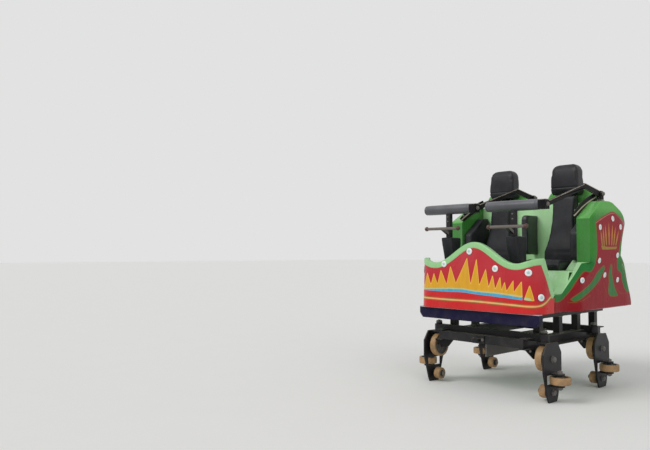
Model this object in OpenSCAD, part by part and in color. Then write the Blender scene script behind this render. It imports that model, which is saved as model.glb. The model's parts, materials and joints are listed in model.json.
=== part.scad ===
// Roller coaster car with one row of two seats
// X runs across the car, the rider's left is +X
// Y runs along the car, the front faces -Y
// Z is up, and Z = 0 is the ground under the wheel carriers

/* [Lengths along the car] */
// Front of the cowl to the front edge of the bench
leg_room = 460; // [420:1:540]
// Front edge of the bench to the wall behind the seat backs
seat_depth = 440; // [400:1:500]
// That wall to the rear of the body at its foot
tail_len = 450; // [410:1:520]
// Rear of the body to the end of the coupler
coupler_out = 50; // [36:1:90]
// Front edge of the bench to the front edge of the wings
wing_back = 126; // [90:1:160]
// Front edge of the wings to their rearmost point
wing_len = 590; // [560:1:620]
// Front of the cowl to the front axle
axle_in = 200; // [180:1:240]
// Distance between the axles
wheelbase = 745; // [700:1:800]

/* [Heights] */
// Ground to the underside of the moulded body
body_z = 600; // [590:1:700]
// Underside of the body to the bench
bench_h = 286; // [250:1:320]
// Bench to the underside of the headrests
back_h = 582; // [560:1:640]
// Height of a headrest
head_h = 250; // [200:1:300]
// Headrests' underside down to the top of the wings
wing_drop = 62; // [50:1:80]
// Wings' top to the top of the humps behind the headrests
hump_rise = 112; // [90:1:140]
// Lowest edge of the way in
sill_z = 126; // [100:1:150]
// Foot of the wings' front edge
wing_foot = 345; // [320:1:370]
// Waist of the tail, where it is shortest
waist_z = 400; // [370:1:430]

/* [Body] */
// Half width of the body at the cowl
body_half = 515; // [505:1:540]
// How far the body's rear foot stands out beyond the cowl, on each side
foot_out = 60; // [35:1:85]
// How far the wings stand out beyond the cowl, on each side
wing_out = 112; // [95:1:145]
// Width of the boxes beside the seats
box_w = 78; // [60:1:90]
// Wall of the mouldings
wall = 12; // [6:1:18]
// Thickness of the floor
floor_t = 15; // [10:1:20]

/* [Cowl] */
// Depth of the green rim, measured down from its edge
rim_d = 46; // [30:1:60]
// Thickness of the rolled rim
rim_t = 44; // [20:1:60]
// Corner radius of the cowl seen from above
cowl_r = 130; // [100:1:180]
// Height of the middle hump
hump_z = 494; // [450:1:530]
// Height of the two dips beside it
dip_z = 342; // [310:1:370]
// Height of the outer tips
tip_z = 378; // [360:1:400]
// Distance of the dips from the middle
dip_x = 345; // [310:1:380]
// Lean of the cowl, top towards the rider
cowl_lean = 3; // [0:0.5:6]

/* [Seats] */
// Distance between the seats' middles
seat_pitch = 560; // [550:1:570]
// Width of a headrest
head_w = 226; // [200:1:260]
// Thickness of a seat pan
pan_t = 80; // [60:1:100]
// Half width of a seat back at the hips
hip_half = 155; // [140:1:170]
// Half width of a seat back at the shoulders
shoulder_half = 97; // [90:1:110]
// Thickness of the bolsters on the wings
bolster_t = 70; // [40:1:76]
// Width of the bolster between the seats
centre_w = 48; // [30:1:60]

/* [Restraints] */
// Pivot behind the shoulder to the wall behind the seat
pivot_back = 15; // [12:1:20]
// Pivot above the wings' top
pivot_rise = 58; // [50:1:70]
// Pivot to the bend of the arm, along the car
knee_reach = 246; // [220:1:260]
// Pivot to the bend of the arm, upwards
knee_rise = 44; // [30:1:60]
// Pivot to the axis of the padded roll, along the car
roll_reach = 802; // [780:1:810]
// Pivot down to the axis of the padded roll
roll_fall = 116; // [100:1:130]
// Diameter of the padded roll
roll_d = 76; // [60:1:90]
// Length of the padded roll
roll_len = 420; // [360:1:440]
// Roll axis down to the axis of the cross handle
handle_fall = 150; // [130:1:160]
// Roll axis forward to the axis of the cross handle
handle_out = 91; // [80:1:94]
// Half length of the cross handle
handle_half = 146; // [110:1:170]
// Roll axis down to the top of the lap pad
pad_fall = 213; // [200:1:230]
// Height of the lap pad
pad_h = 235; // [200:1:240]
// Half width of the lap pad
pad_half = 52; // [40:1:60]
// Seat's middle to its arm, on the rider's left
arm_off = 242; // [236:1:244]
// Thickness of the flat arm
arm_t = 14; // [10:1:18]
// Diameter of the pivot pins
pivot_d = 25; // [16:1:32]

/* [Running gear] */
// Height of the rail's middle that the wheels are set for
rail_z = 155; // [150:1:165]
// Diameter of that rail
rail_d = 89; // [80:1:92]
// Distance of that rail from the middle of the car
rail_x = 450; // [440:1:460]
// Radius of a running wheel
run_r = 90; // [80:1:92]
// Radius of a guide wheel
guide_r = 70; // [60:1:80]
// Radius of an up-stop wheel
stop_r = 45; // [35:1:50]
// Width of the wheels
wheel_w = 50; // [40:1:56]
// Diameter of the wheel pins
pin_d = 25; // [16:1:30]
// Diameter of the kingpins
king_d = 30; // [20:1:36]
// Diameter of the bores that take the pins to the next car
lug_d = 26; // [20:1:30]
// Running clearance, measured on the radius
fit = 0.05; // [0.01:0.01:0.1]

/* [Hidden] */
$fn = 64;

// colours as the photo shows them
red = [0.78, 0.13, 0.15];
green = [0.36, 0.66, 0.31];
pale_green = [0.66, 0.86, 0.60];
navy = [0.13, 0.14, 0.28];
steel = [0.20, 0.21, 0.22];
black = [0.06, 0.06, 0.07];
tan_tread = [0.72, 0.52, 0.30];

// places along the car, with its middle at 0
car_length = leg_room + seat_depth + tail_len + coupler_out;
front_y = -car_length / 2;
bench_y = front_y + leg_room;
back_y = bench_y + seat_depth;
rear_y = back_y + tail_len;
coupler_end = rear_y + coupler_out;
wing_y = bench_y + wing_back;
axle_y = [front_y + axle_in, front_y + axle_in + wheelbase];

// heights above the body's foot, and the foot's own height above the ground
function up(z) = body_z + z;
head_foot = bench_h + back_h;
head_top = head_foot + head_h;
wing_top = head_foot - wing_drop;
hump_top = wing_top + hump_rise;
soft = 0.3;

// places across the car
foot_half = body_half + foot_out;
wing_half = body_half + wing_out;
side_in = body_half - wall;
box_in = side_in - box_w;
function seat_x(s) = s * seat_pitch / 2;
function arm_x(s) = seat_x(s) + arm_off;

// a wave from one value to another, level at both ends
function ease(a, b, t) = a + (b - a) * (1 - cos(180 * max(0, min(1, t)))) / 2;

// a smooth curve through control points, with n steps from each to the next
function bend(p, n = 4) =
    let (last = len(p) - 1)
    concat([for (i = [0:last - 1], k = [0:n - 1])
        let (a = p[max(0, i - 1)], b = p[i], c = p[i + 1], d = p[min(last, i + 2)], t = k / n)
        (2 * b + (c - a) * t + (2 * a - 5 * b + 4 * c - d) * t * t
            + (3 * b - a - 3 * c + d) * t * t * t) / 2], [p[last]]);

// a table of shares laid between two corners of a box
function lay(table, from, to) =
    [for (p = table) [from[0] + p[0] * (to[0] - from[0]), from[1] + p[1] * (to[1] - from[1])]];

// a solid from an outline in Y and Z, drawn between two places in X
module along_x(x0, x1) {
    translate([x0, 0, 0])
        rotate([90, 0, 90])
            linear_extrude(x1 - x0)
                children();
}

// a solid from an outline in X and Z, drawn between two places in Y
module along_y(y0, y1) {
    translate([0, y1, 0])
        rotate([90, 0, 0])
            linear_extrude(y1 - y0)
                children();
}

// a solid from an outline in X and Y, drawn between two heights
module along_z(z0, z1) {
    translate([0, 0, z0])
        linear_extrude(z1 - z0)
            children();
}

// a box given by its two corners
module block(a, b) {
    translate(a)
        cube(b - a);
}

// a round bar along X, given by its middle in Y and Z
module bar_x(x0, x1, y, z, d) {
    translate([x0, y, z])
        rotate([0, 90, 0])
            cylinder(d = d, h = x1 - x0);
}

// the same shape on the car's left and right
module both_sides() {
    children();
    mirror([1, 0, 0])
        children();
}

// height of the cowl's edge at a place across the car
function edge_z(x) =
    let (a = abs(x))
    a < dip_x ? ease(hump_z, dip_z, a / dip_x)
              : ease(dip_z, tip_z, (a - dip_x) / (body_half - dip_x));

// the cowl's plan, an outline with two rounded front corners
cowl_len = leg_room - 70;
module cowl_plan(inset) {
    r = cowl_r - inset;
    half = body_half - inset;
    y0 = front_y + inset;
    union() {
        translate([-half, y0 + r])
            square([2 * half, cowl_len - cowl_r]);
        translate([-half + r, y0])
            square([2 * (half - r), r + 1]);
        for (s = [-1, 1])
            translate([s * (half - r), y0 + r])
                circle(r, $fn = 96);
    }
}

// the cowl's front view, lowered by a given depth
module cowl_front(down) {
    steps = 48;
    half = body_half + rim_t;
    polygon(concat(
        [[half, up(0)], [-half, up(0)]],
        [for (i = [0:steps])
            let (x = half * (2 * i / steps - 1))
            [x, up(edge_z(x) - down)]]
    ));
}

// the cowl's rear edge at the way in, shares from its top to the sill
entry_y = bench_y - 230;
entry_shape = [[0, 1], [0.2, 0.73], [0.48, 0.45], [0.77, 0.19], [1, 0]];
function entry_curve(down) =
    bend(lay(entry_shape, [entry_y - 120 - down, sill_z - down / 3],
        [entry_y - down, tip_z + 22 - down / 3]), 3);

module cowl_side(down) {
    curve = entry_curve(down);
    polygon(concat(
        [[front_y - rim_t, up(0)], [front_y - rim_t, up(hump_z + rim_t)], [curve[0][0], up(hump_z + rim_t)]],
        [for (p = curve) [p[0], up(p[1])]],
        [[entry_y, up(sill_z - down)], [entry_y, up(0)]]
    ));
}

module cowl_ring(thick) {
    intersection() {
        translate([0, front_y, up(0)])
            rotate([-cowl_lean, 0, 0])
                translate([0, -front_y, -rim_t])
                    linear_extrude(hump_z + 2 * rim_t)
                        difference() {
                            cowl_plan(0);
                            cowl_plan(thick);
                        }
        block([-body_half - rim_t, front_y - rim_t, up(0)], [body_half + rim_t, entry_y, up(hump_z + rim_t)]);
    }
}

module cowl_window(down, over) {
    intersection() {
        along_y(front_y - rim_t - over, entry_y + over)
            cowl_front(down);
        along_x(-body_half - rim_t - over, body_half + rim_t + over)
            cowl_side(down);
    }
}

module front_cowl() {
    color(red)
        intersection() {
            cowl_ring(wall);
            cowl_window(rim_d, 0);
        }
}

module cowl_rim() {
    color(green)
        difference() {
            intersection() {
                cowl_ring(rim_t);
                cowl_window(0, 0);
            }
            cowl_window(rim_d, 1);
        }
}

// floor of the body, narrow under the cowl
module floor_pan() {
    color(pale_green)
        along_z(up(0), up(floor_t))
            union() {
                intersection() {
                    cowl_plan(wall + 1);
                    translate([-side_in, front_y])
                        square([2 * side_in, cowl_len]);
                }
                translate([-side_in, entry_y - 10])
                    square([2 * side_in, rear_y - wall - entry_y + 10]);
            }
}

// way in: from the sill up to the foot of the wing, shares of its run and rise
flank_shape = [[0, 0], [0.08, 0.03], [0.28, 0.23], [0.5, 0.45], [0.71, 0.68], [0.9, 0.9], [1, 1]];
// wing, shares of its length and of its rise over its foot
wing_shape = [
    [0, 0.63], [0.03, 0.68], [0.125, 0.777], [0.278, 0.926], [0.36, 0.982], [0.43, 1], [0.58, 1],
    [0.68, 0.975], [0.85, 0.865], [0.94, 0.76], [0.99, 0.675], [0.995, 0.63], [0.93, 0.54], [0.86, 0.4],
    [0.815, 0.25]
];
// tail, shares of the way from its waist to the rear foot
tail_shape = [[0, 1], [0.3, 0.84], [0.57, 0.62], [0.84, 0.34], [0.97, 0.14], [1, 0]];
waist_y = wing_y + 0.805 * wing_len;

function flank_curve() = bend(lay(flank_shape, [entry_y + 95, sill_z], [wing_y, wing_foot]), 3);
function wing_curve() =
    let (curve = bend(lay(wing_shape, [wing_y, wing_foot], [wing_y + wing_len, wing_top]), 3))
    [for (p = curve) [p[0], min(p[1], wing_top)]];
function tail_curve() = bend(lay(tail_shape, [waist_y, 0], [rear_y, waist_z]), 3);

// side view of a side shell: sill, way in, wing and tail
module side_outline() {
    polygon([for (p = concat([[entry_y, 0], [entry_y, sill_z + 6], [entry_y + 20, sill_z]],
        flank_curve(), wing_curve(), tail_curve())) [p[0], up(p[1])]]);
}

// front view of a left side shell: the foot flares out into the wing, which leans in at its top
flare_z = [120, 480];
lean_x = 29;
lean_z = wing_top - 186;
module side_section() {
    steps = 8;
    polygon(concat(
        [[side_in, up(-1)], [foot_half, up(-1)]],
        [for (i = [0:steps])
            let (t = i / steps)
            [ease(foot_half, wing_half, t), up(flare_z[0] + t * (flare_z[1] - flare_z[0]))]],
        [for (i = [0:steps])
            let (t = i / steps)
            [ease(wing_half, wing_half - lean_x, t), up(lean_z + t * (wing_top + 24 - lean_z))]],
        [[side_in, up(wing_top + 24)]]
    ));
}

// plan of a left side shell: narrow at the cowl, wide at the wing, drawn in again at the rear
tail_taper = 330;
module side_plan() {
    steps = 8;
    polygon(concat(
        [[side_in, entry_y - 11], [body_half, entry_y - 11]],
        [for (i = [0:steps])
            let (t = i / steps)
            [ease(body_half, wing_half, t), entry_y + 60 + t * (wing_y + 84 - entry_y - 60)]],
        [for (i = [0:steps])
            let (t = i / steps)
            [ease(wing_half, foot_half, t), rear_y - tail_taper + t * tail_taper]],
        [[side_in, rear_y]]
    ));
}

module side_shell() {
    color(red)
        intersection() {
            along_x(side_in, wing_half + 5)
                side_outline();
            along_y(entry_y - 11, rear_y)
                side_section();
            along_z(up(-1), up(wing_top + 24))
                side_plan();
        }
}

module side_shell_left() {
    side_shell();
}

module side_shell_right() {
    mirror([1, 0, 0])
        side_shell();
}

// rear of the body: a closed box behind the seats, with a hump behind each headrest
rear_slope = [[0, 1], [0.02, 0.66], [0.04, 0.5], [0.3, 0.42], [0.57, 0.31], [0.84, 0.17], [0.97, 0.07],
              [1, 0.02]];
module rear_outline(t) {
    curve = bend(lay(rear_slope, [waist_y - t - wall, 0], [rear_y - t - wall, wing_top - t]), 2);
    polygon(concat(
        [[back_y + t, up(floor_t + t)], [back_y + t, up(wing_top - t)]],
        [for (p = curve) if (p[1] > floor_t + t) [p[0], up(p[1])]],
        [[rear_y - t - wall, up(floor_t + t)]]
    ));
}

// half a hump seen from the front, shares from the middle of the car outwards
hump_shape = [
    [0, 0.03], [0.05, 0.05], [0.11, 0.2], [0.14, 0.5], [0.18, 0.84], [0.25, 0.97], [0.45, 1], [0.6, 1],
    [0.78, 0.92], [0.86, 0.7], [0.94, 0.32], [1, 0]
];
hump_y = back_y + 50;
module hump_outline() {
    half = bend(lay(hump_shape, [0, wing_top], [wing_half - 29, hump_top]), 2);
    n = len(half) - 1;
    polygon(concat(
        [for (i = [n:-1:0]) [half[i][0], up(half[i][1])]],
        [for (i = [1:n]) [-half[i][0], up(half[i][1])]]
    ));
}

module hump_side() {
    depth = waist_y - wall - hump_y;
    curve = bend(lay([[0.4, 1.1], [0.66, 1], [0.85, 0.66], [0.96, 0.3], [1, 0]],
        [hump_y, wing_top], [hump_y + depth, hump_top]), 3);
    polygon(concat(
        [[hump_y, up(wing_top)], [hump_y, up(hump_top + 12)]],
        [for (p = curve) [p[0], up(p[1])]]
    ));
}

module rear_shell() {
    color(green)
        union() {
            difference() {
                along_x(-side_in, side_in)
                    rear_outline(0);
                along_x(-side_in + wall, side_in - wall)
                    rear_outline(wall);
            }
            intersection() {
                along_y(hump_y, waist_y)
                    hump_outline();
                along_x(-side_in, side_in)
                    hump_side();
            }
        }
}

// bench: a top, a front that slopes down to the footwell, and a box beside each seat
bench_foot = bench_y - 90;
box_top = wing_foot + 15;
box_shape = [[0, 0], [0.5, 0.54], [0.76, 0.8], [1, 1]];
module bench() {
    color(pale_green)
        union() {
            along_x(-side_in, side_in)
                polygon([
                    [bench_foot, up(floor_t)], [bench_foot + wall, up(floor_t)],
                    [bench_y + wall, up(bench_h - wall)], [back_y, up(bench_h - wall)],
                    [back_y, up(bench_h)], [bench_y, up(bench_h)]
                ]);
            both_sides()
                along_x(box_in, side_in)
                    polygon(concat(
                        [[bench_foot, up(floor_t)]],
                        [for (p = lay(box_shape, [bench_foot, sill_z], [wing_y + 80, box_top]))
                            [p[0], up(p[1])]],
                        [[back_y, up(box_top)], [back_y, up(floor_t)]]
                    ));
        }
}

// seat pans, soft, with a rounded front
pan_half = box_in - seat_pitch / 2 - soft;
pan_in = 8;
back_foot_t = 140;
back_head_t = 74;
pan_shape = [[0, 0], [-0.04, 0.3], [-0.02, 0.62], [0.04, 0.88], [0.16, 1], [1, 0.8], [1, 0]];
module seat_pans() {
    color(black)
        for (s = [-1, 1])
            along_x(seat_x(s) - pan_half, seat_x(s) + pan_half)
                polygon(lay(pan_shape, [bench_y + pan_in, up(bench_h + soft)],
                    [back_y - back_foot_t, up(bench_h + pan_t)]));
}

// seat backs: narrow at the shoulders, wide at the hips, leaning back
back_wide = [[1, 0], [1, 0.11], [0.9, 0.2], [0.4, 0.38], [0.08, 0.6], [0, 0.76], [-0.02, 1]];
back_lean = [[0, 0], [0.02, 0.23], [0.4, 0.47], [0.68, 0.71], [1, 1]];
module seat_backs() {
    half = bend(lay(back_wide, [shoulder_half, bench_h + soft], [hip_half, head_foot - soft]), 3);
    n = len(half) - 1;
    foot = back_y - back_foot_t + soft;
    face = bend(lay(back_lean, [foot, bench_h + soft], [back_y - back_head_t, head_foot - soft]), 3);
    color(black)
        for (s = [-1, 1])
            intersection() {
                along_y(foot, back_y - soft)
                    polygon(concat(
                        [for (p = half) [seat_x(s) + min(p[0], pan_half), up(p[1])]],
                        [for (i = [n:-1:0]) [seat_x(s) - min(half[i][0], pan_half), up(half[i][1])]]
                    ));
                along_x(seat_x(s) - hip_half, seat_x(s) + hip_half)
                    polygon(concat(
                        [for (p = face) [p[0], up(p[1])]],
                        [[back_y - soft, up(head_foot - soft)], [back_y - soft, up(bench_h + soft)]]
                    ));
            }
}

// headrests: rounded blocks, wider at the foot, with a crease under the head
head_wide = [[0.9, 0], [1, 0.14], [0.97, 0.55], [0.9, 0.83], [0.74, 0.95], [0.5, 1]];
head_deep = [[0.17, 0], [0.05, 0.12], [0, 0.29], [0.03, 0.6], [0.13, 0.86], [0.3, 0.975], [0.5, 1],
             [0.78, 0.97], [0.93, 0.86], [1, 0.69], [1, 0]];
module headrests() {
    half = bend(lay(head_wide, [0, head_foot], [head_w / 2, head_top]), 3);
    n = len(half) - 1;
    depth = bend(lay(head_deep, [back_y - 70, head_foot], [hump_y - soft, head_top]), 2);
    color(black)
        for (s = [-1, 1])
            intersection() {
                along_y(back_y - 70, hump_y - soft)
                    polygon(concat(
                        [for (p = half) [seat_x(s) + p[0], up(p[1])]],
                        [for (i = [n:-1:0]) [seat_x(s) - half[i][0], up(half[i][1])]]
                    ));
                along_x(seat_x(s) - head_w / 2, seat_x(s) + head_w / 2)
                    polygon([for (p = depth) [p[0], up(p[1])]]);
            }
}

// bolsters on the wings' inner faces, from the boxes up to the stays
bolster_shape = [[0, 0], [0, 0.56], [0.06, 0.63], [0.55, 0.93], [0.66, 0.99], [0.95, 1], [1, 0.94], [1, 0]];
module side_bolsters() {
    color(black)
        both_sides()
            along_x(side_in - bolster_t, side_in - soft)
                polygon(lay(bolster_shape, [wing_y + 14, up(box_top + soft)],
                    [back_y - soft, up(wing_top - 86)]));
}

// bolster between the seats
centre_shape = [[1, 0], [0.14, 0], [0.04, 0.05], [0, 0.12], [0, 0.88], [0.06, 0.97], [0.2, 1], [1, 1]];
module centre_bolster() {
    color(black)
        along_x(-centre_w / 2, centre_w / 2)
            polygon(lay(centre_shape, [back_y - 192, up(bench_h + 106)], [back_y - soft, up(wing_top - 80)]));
}

// pivot of each restraint, on the rider's left
pivot_y = back_y + pivot_back;
pivot_z = wing_top + pivot_rise;
cheek_gap = 3;
lug_t = 9;
lug_r = 24;
module pivot_lug(x) {
    along_x(x, x + lug_t)
        union() {
            translate([pivot_y - lug_r, up(wing_top)])
                square([2 * lug_r, pivot_rise]);
            translate([pivot_y, up(pivot_z)])
                circle(lug_r);
        }
}

module pivot_brackets() {
    reach = cheek_gap + lug_t;
    color(steel)
        for (s = [-1, 1])
            union() {
                pivot_lug(arm_x(s) - reach);
                pivot_lug(arm_x(s) + arm_t + cheek_gap);
                bar_x(arm_x(s) - reach - 4, arm_x(s) + arm_t + reach + 4, pivot_y, up(pivot_z), pivot_d);
                block([arm_x(s) - reach - 6, pivot_y - lug_r, up(wing_top)],
                      [arm_x(s) + arm_t + reach + 6, pivot_y + lug_r, up(wing_top + 10)]);
            }
}

// flat stays on the wings' inner faces
stay_t = 8;
module wing_stays() {
    color(steel)
        both_sides()
            along_x(side_in - stay_t, side_in)
                polygon(lay([[0, 0.13], [0.07, 0], [1, 0.84], [1, 1], [0.9, 1]],
                    [wing_y + 14, up(wing_top - 190)], [back_y - 24, up(wing_top - 6)]));
}

// arm of a restraint: lever, flat bar, end block and the tube inside the roll
knee = [pivot_y - knee_reach, pivot_z + knee_rise];
roll = [pivot_y - roll_reach, pivot_z - roll_fall];
tube_d = 34;
bar_h = 34;
lever_h = 42;
block_len = 40;
module flat_bar(a, b, h, x, t) {
    d = b - a;
    translate([x, a[0], up(a[1])])
        rotate([atan2(d[1], d[0]), 0, 0])
            translate([0, 0, -h / 2])
                cube([t, norm(d), h]);
}

module arm(s) {
    x = arm_x(s);
    color(steel)
        difference() {
            union() {
                bar_x(x, x + arm_t, pivot_y, up(pivot_z), 52);
                flat_bar([pivot_y, pivot_z], knee, lever_h, x, arm_t);
                bar_x(x, x + arm_t, knee[0], up(knee[1]), lever_h);
                flat_bar(knee, roll, bar_h, x, arm_t);
                block([x - block_len, roll[0] - 28, up(roll[1] - 34)],
                      [x + arm_t, roll[0] + 28, up(roll[1] + 34)]);
                bar_x(x - block_len - roll_len + 6, x - block_len + 6, roll[0], up(roll[1]), tube_d);
            }
            bar_x(x - 1, x + arm_t + 1, pivot_y, up(pivot_z), pivot_d + 2 * fit);
        }
}

// padded roll around the tube, open below for the stem
stem_w = 36;
stem_d = 34;
module padded_roll(s) {
    x1 = arm_x(s) - block_len - soft;
    color(black)
        difference() {
            bar_x(x1 - roll_len, x1, roll[0], up(roll[1]), roll_d);
            bar_x(x1 - roll_len + 6, x1 + 6, roll[0], up(roll[1]), tube_d + 2 * soft);
            block([seat_x(s) - stem_w / 2 - soft, roll[0] - stem_d / 2 - soft, up(roll[1] - roll_d)],
                  [seat_x(s) + stem_w / 2 + soft, roll[0] + stem_d / 2 + soft, up(roll[1])]);
        }
}

// stem, brace and cross handle
pad_top = roll[1] - pad_fall;
handle = [roll[0] - handle_out, roll[1] - handle_fall];
grip_d = 22;
module handle(s) {
    x = seat_x(s);
    color(steel)
        union() {
            difference() {
                block([x - stem_w / 2, roll[0] - stem_d / 2, up(pad_top)],
                      [x + stem_w / 2, roll[0] + stem_d / 2, up(roll[1] - 8)]);
                bar_x(x - stem_w, x + stem_w, roll[0], up(roll[1]), tube_d);
            }
            flat_bar([roll[0] - 6, pad_top + 20], handle, 20, x - grip_d / 2, grip_d);
            bar_x(x - handle_half, x + handle_half, handle[0], up(handle[1]), grip_d);
            for (e = [-1, 1])
                translate([x + e * handle_half, handle[0], up(handle[1])])
                    sphere(d = grip_d + 12);
        }
}

// tapered pad below the stem
pad_shape = [[0, 1], [0.08, 0.72], [0.24, 0.38], [0.39, 0.08], [0.55, 0], [0.88, 0], [1, 0.09], [1, 0.96],
             [0.92, 1]];
module lap_pad(s) {
    color(black)
        along_x(seat_x(s) - pad_half, seat_x(s) + pad_half)
            polygon(lay(pad_shape, [roll[0] - 45, up(pad_top - soft - pad_h)],
                [roll[0] + 87, up(pad_top - soft)]));
}

// running gear heights and places, worked out from the rail
run_z = rail_z + rail_d / 2 + run_r;
stop_z = rail_z - rail_d / 2 - stop_r;
guide_x = rail_x + rail_d / 2 + guide_r;
cheek_x = rail_x + wheel_w / 2 + 25;
cheek_t = 12;
cap_z = run_z + run_r + 10;
cap_t = 12;
beam_z = cap_z + cap_t + 2;
beam_h = 50;
beam_half = 30;
boss_r = king_d / 2 + 19;

// lower frame: channels with gussets at the axles, axle beams with kingpin bosses, cross members
channel_x = rail_x - 90;
channel_w = 60;
channel_h = 80;
channel_t = 8;
channel_top = beam_z + 22;
channel_z = channel_top - channel_h;
frame_y = [front_y + 80, rear_y - 100];
cross_w = 60;
module channel_section() {
    half = channel_w / 2;
    t = channel_t;
    polygon([
        [-half, channel_z], [half, channel_z], [half, channel_z + t], [-half + t, channel_z + t],
        [-half + t, channel_top - t], [half, channel_top - t], [half, channel_top], [-half, channel_top]
    ]);
}

module gusset(y) {
    along_x(channel_x + channel_w / 2 - channel_t, channel_x + channel_w / 2)
        polygon([
            [y - 130, channel_z + channel_t], [y - 130, channel_z], [y - 34, channel_z - 66],
            [y + 34, channel_z - 66], [y + 130, channel_z], [y + 130, channel_z + channel_t]
        ]);
}

module lower_frame() {
    color(steel)
        difference() {
            union() {
                both_sides() {
                    translate([channel_x, 0, 0])
                        along_y(frame_y[0], frame_y[1])
                            channel_section();
                    for (y = axle_y) {
                        gusset(y);
                        translate([rail_x, y, beam_z])
                            cylinder(r = boss_r, h = beam_h);
                    }
                }
                for (y = axle_y)
                    block([-rail_x, y - beam_half, beam_z], [rail_x, y + beam_half, beam_z + beam_h]);
                for (y = [frame_y[0], frame_y[1] - cross_w])
                    block([-channel_x, y, channel_z + 10], [channel_x, y + cross_w, channel_top - 10]);
            }
            for (y = axle_y, s = [-1, 1])
                translate([s * rail_x, y, beam_z - 1])
                    cylinder(r = king_d / 2 + fit, h = beam_h + 2);
        }
}

// upper frame under the floor, on posts
rail_w = 50;
rail_h = 50;
post_first = axle_y[0] + 80;
post_step = (axle_y[1] + 175 - post_first) / 3;
module upper_frame() {
    z0 = up(-rail_h);
    half = rail_w / 2;
    color(steel)
        union() {
            both_sides() {
                block([channel_x - half, frame_y[0], z0], [channel_x + half, frame_y[1], up(0)]);
                for (i = [0:3])
                    block([channel_x - half, post_first + i * post_step - half, channel_top],
                          [channel_x + half, post_first + i * post_step + half, z0]);
            }
            for (y = [frame_y[0], (frame_y[0] + frame_y[1] - rail_w) / 2, frame_y[1] - rail_w])
                block([-channel_x, y, z0], [channel_x, y + rail_w, up(-5)]);
        }
}

// navy beam across the front, under the cowl
beam_drop = 85;
module front_beam() {
    half = body_half - 7;
    color(navy)
        along_y(frame_y[0] - 48, frame_y[0])
            polygon([
                [-half, up(0)], [half, up(0)], [half, up(-rail_h)], [half - 28, up(-beam_drop)],
                [-half + 28, up(-beam_drop)], [-half, up(-rail_h)]
            ]);
}

// plate on the centre line that the track's brakes grip
brake_t = 12;
brake_z = rail_z + 95;
module brake_plate() {
    color(steel)
        union() {
            block([-brake_t / 2, axle_y[0] - beam_half, brake_z],
                  [brake_t / 2, axle_y[1] + beam_half, beam_z - 10]);
            for (y = axle_y)
                block([-40, y - beam_half, beam_z - 10], [40, y + beam_half, beam_z]);
        }
}

// lug at the front with its bore
tow_y = front_y + 40;
tow_r = 30;
tow_z = channel_z + 30;
tow_t = 20;
module tow_lug() {
    color(steel)
        difference() {
            union() {
                block([-tow_r, tow_y, tow_z], [tow_r, frame_y[0], tow_z + tow_t]);
                translate([0, tow_y, tow_z])
                    cylinder(r = tow_r, h = tow_t);
                block([-50, frame_y[0] - 8, channel_z + 10], [50, frame_y[0], channel_top - 10]);
            }
            translate([0, tow_y, tow_z - 1])
                cylinder(d = lug_d, h = tow_t + 2);
        }
}

// bar at the rear with its bore
coupler_r = 35;
coupler_y = coupler_end - coupler_r;
coupler_t = 30;
coupler_z = tow_z + (tow_t - coupler_t) / 2;
module rear_coupler() {
    color(steel)
        difference() {
            union() {
                block([-25, frame_y[1], coupler_z], [25, coupler_y, coupler_z + coupler_t]);
                translate([0, coupler_y, coupler_z])
                    cylinder(r = coupler_r, h = coupler_t);
                block([-60, frame_y[1], channel_z + 10], [60, frame_y[1] + 10, channel_top - 10]);
            }
            translate([0, coupler_y, coupler_z - 1])
                cylinder(d = lug_d, h = coupler_t + 2);
        }
}

// wheel carrier on the left side, its kingpin at the given place along the car
cheek_shape = [[0.22, 0], [0.28, 0.07], [0.5, 0.52], [0.5, 0.82], [0.29, 1]];
cheek_len = 240;
arm_gap = 8;
module carrier_left(y) {
    side = rail_z + wheel_w / 2 + arm_gap;
    under = rail_z - wheel_w / 2 - arm_gap;
    half = lay(cheek_shape, [0, 0], [cheek_len, cap_z + cap_t]);
    n = len(half) - 1;
    pin_x = rail_x - wheel_w / 2 - 12;
    color(steel)
        translate([0, y, 0])
            difference() {
                union() {
                    along_x(cheek_x, cheek_x + cheek_t)
                        polygon(concat(half, [for (i = [n:-1:0]) [-half[i][0], half[i][1]]]));
                    block([rail_x - 40, -40, cap_z], [cheek_x + 1, 40, cap_z + cap_t]);
                    translate([rail_x, 0, cap_z + cap_t - 1])
                        cylinder(d = king_d, h = beam_h + 15);
                    translate([rail_x, 0, beam_z + beam_h + 2])
                        cylinder(r = king_d / 2 + 9, h = 10);
                    for (z = [run_z, stop_z]) {
                        bar_x(rail_x + wheel_w / 2 + 3, cheek_x + 1, 0, z, pin_d + 14);
                        bar_x(pin_x, cheek_x + 3, 0, z, pin_d);
                        bar_x(pin_x, pin_x + 9, 0, z, pin_d + 12);
                    }
                    for (z = [side, under - 12])
                        union() {
                            block([cheek_x, -30, z], [guide_x, 30, z + 12]);
                            translate([guide_x, 0, z])
                                cylinder(r = 30, h = 12);
                        }
                    translate([guide_x, 0, under - 1])
                        cylinder(d = pin_d, h = side - under + 2);
                }
                block([cheek_x - 1, -guide_r - 8, under + 1], [cheek_x + cheek_t + 1, guide_r + 8, side - 1]);
            }
}

module carrier(s, y) {
    if (s > 0)
        carrier_left(y);
    else
        mirror([1, 0, 0])
            carrier_left(y);
}

// wheel about the Z axis: hub, dished web, and a tread that is slightly crowned
hub_t = 12;
tread_t = 18;
dish = 6;
module wheel(r) {
    w = wheel_w / 2;
    bore = pin_d / 2 + fit;
    hub = pin_d / 2 + hub_t;
    rotate_extrude($fn = 96)
        polygon([
            [bore, -w], [hub, -w], [hub, -w + dish], [r - tread_t - 2, -w + dish], [r - tread_t, -w],
            [r - 4, -w], [r - 1, -w + 4], [r, 0], [r - 1, w - 4], [r - 4, w], [r - tread_t, w],
            [r - tread_t - 2, w - dish], [hub, w - dish], [hub, w], [bore, w]
        ]);
}

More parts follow.
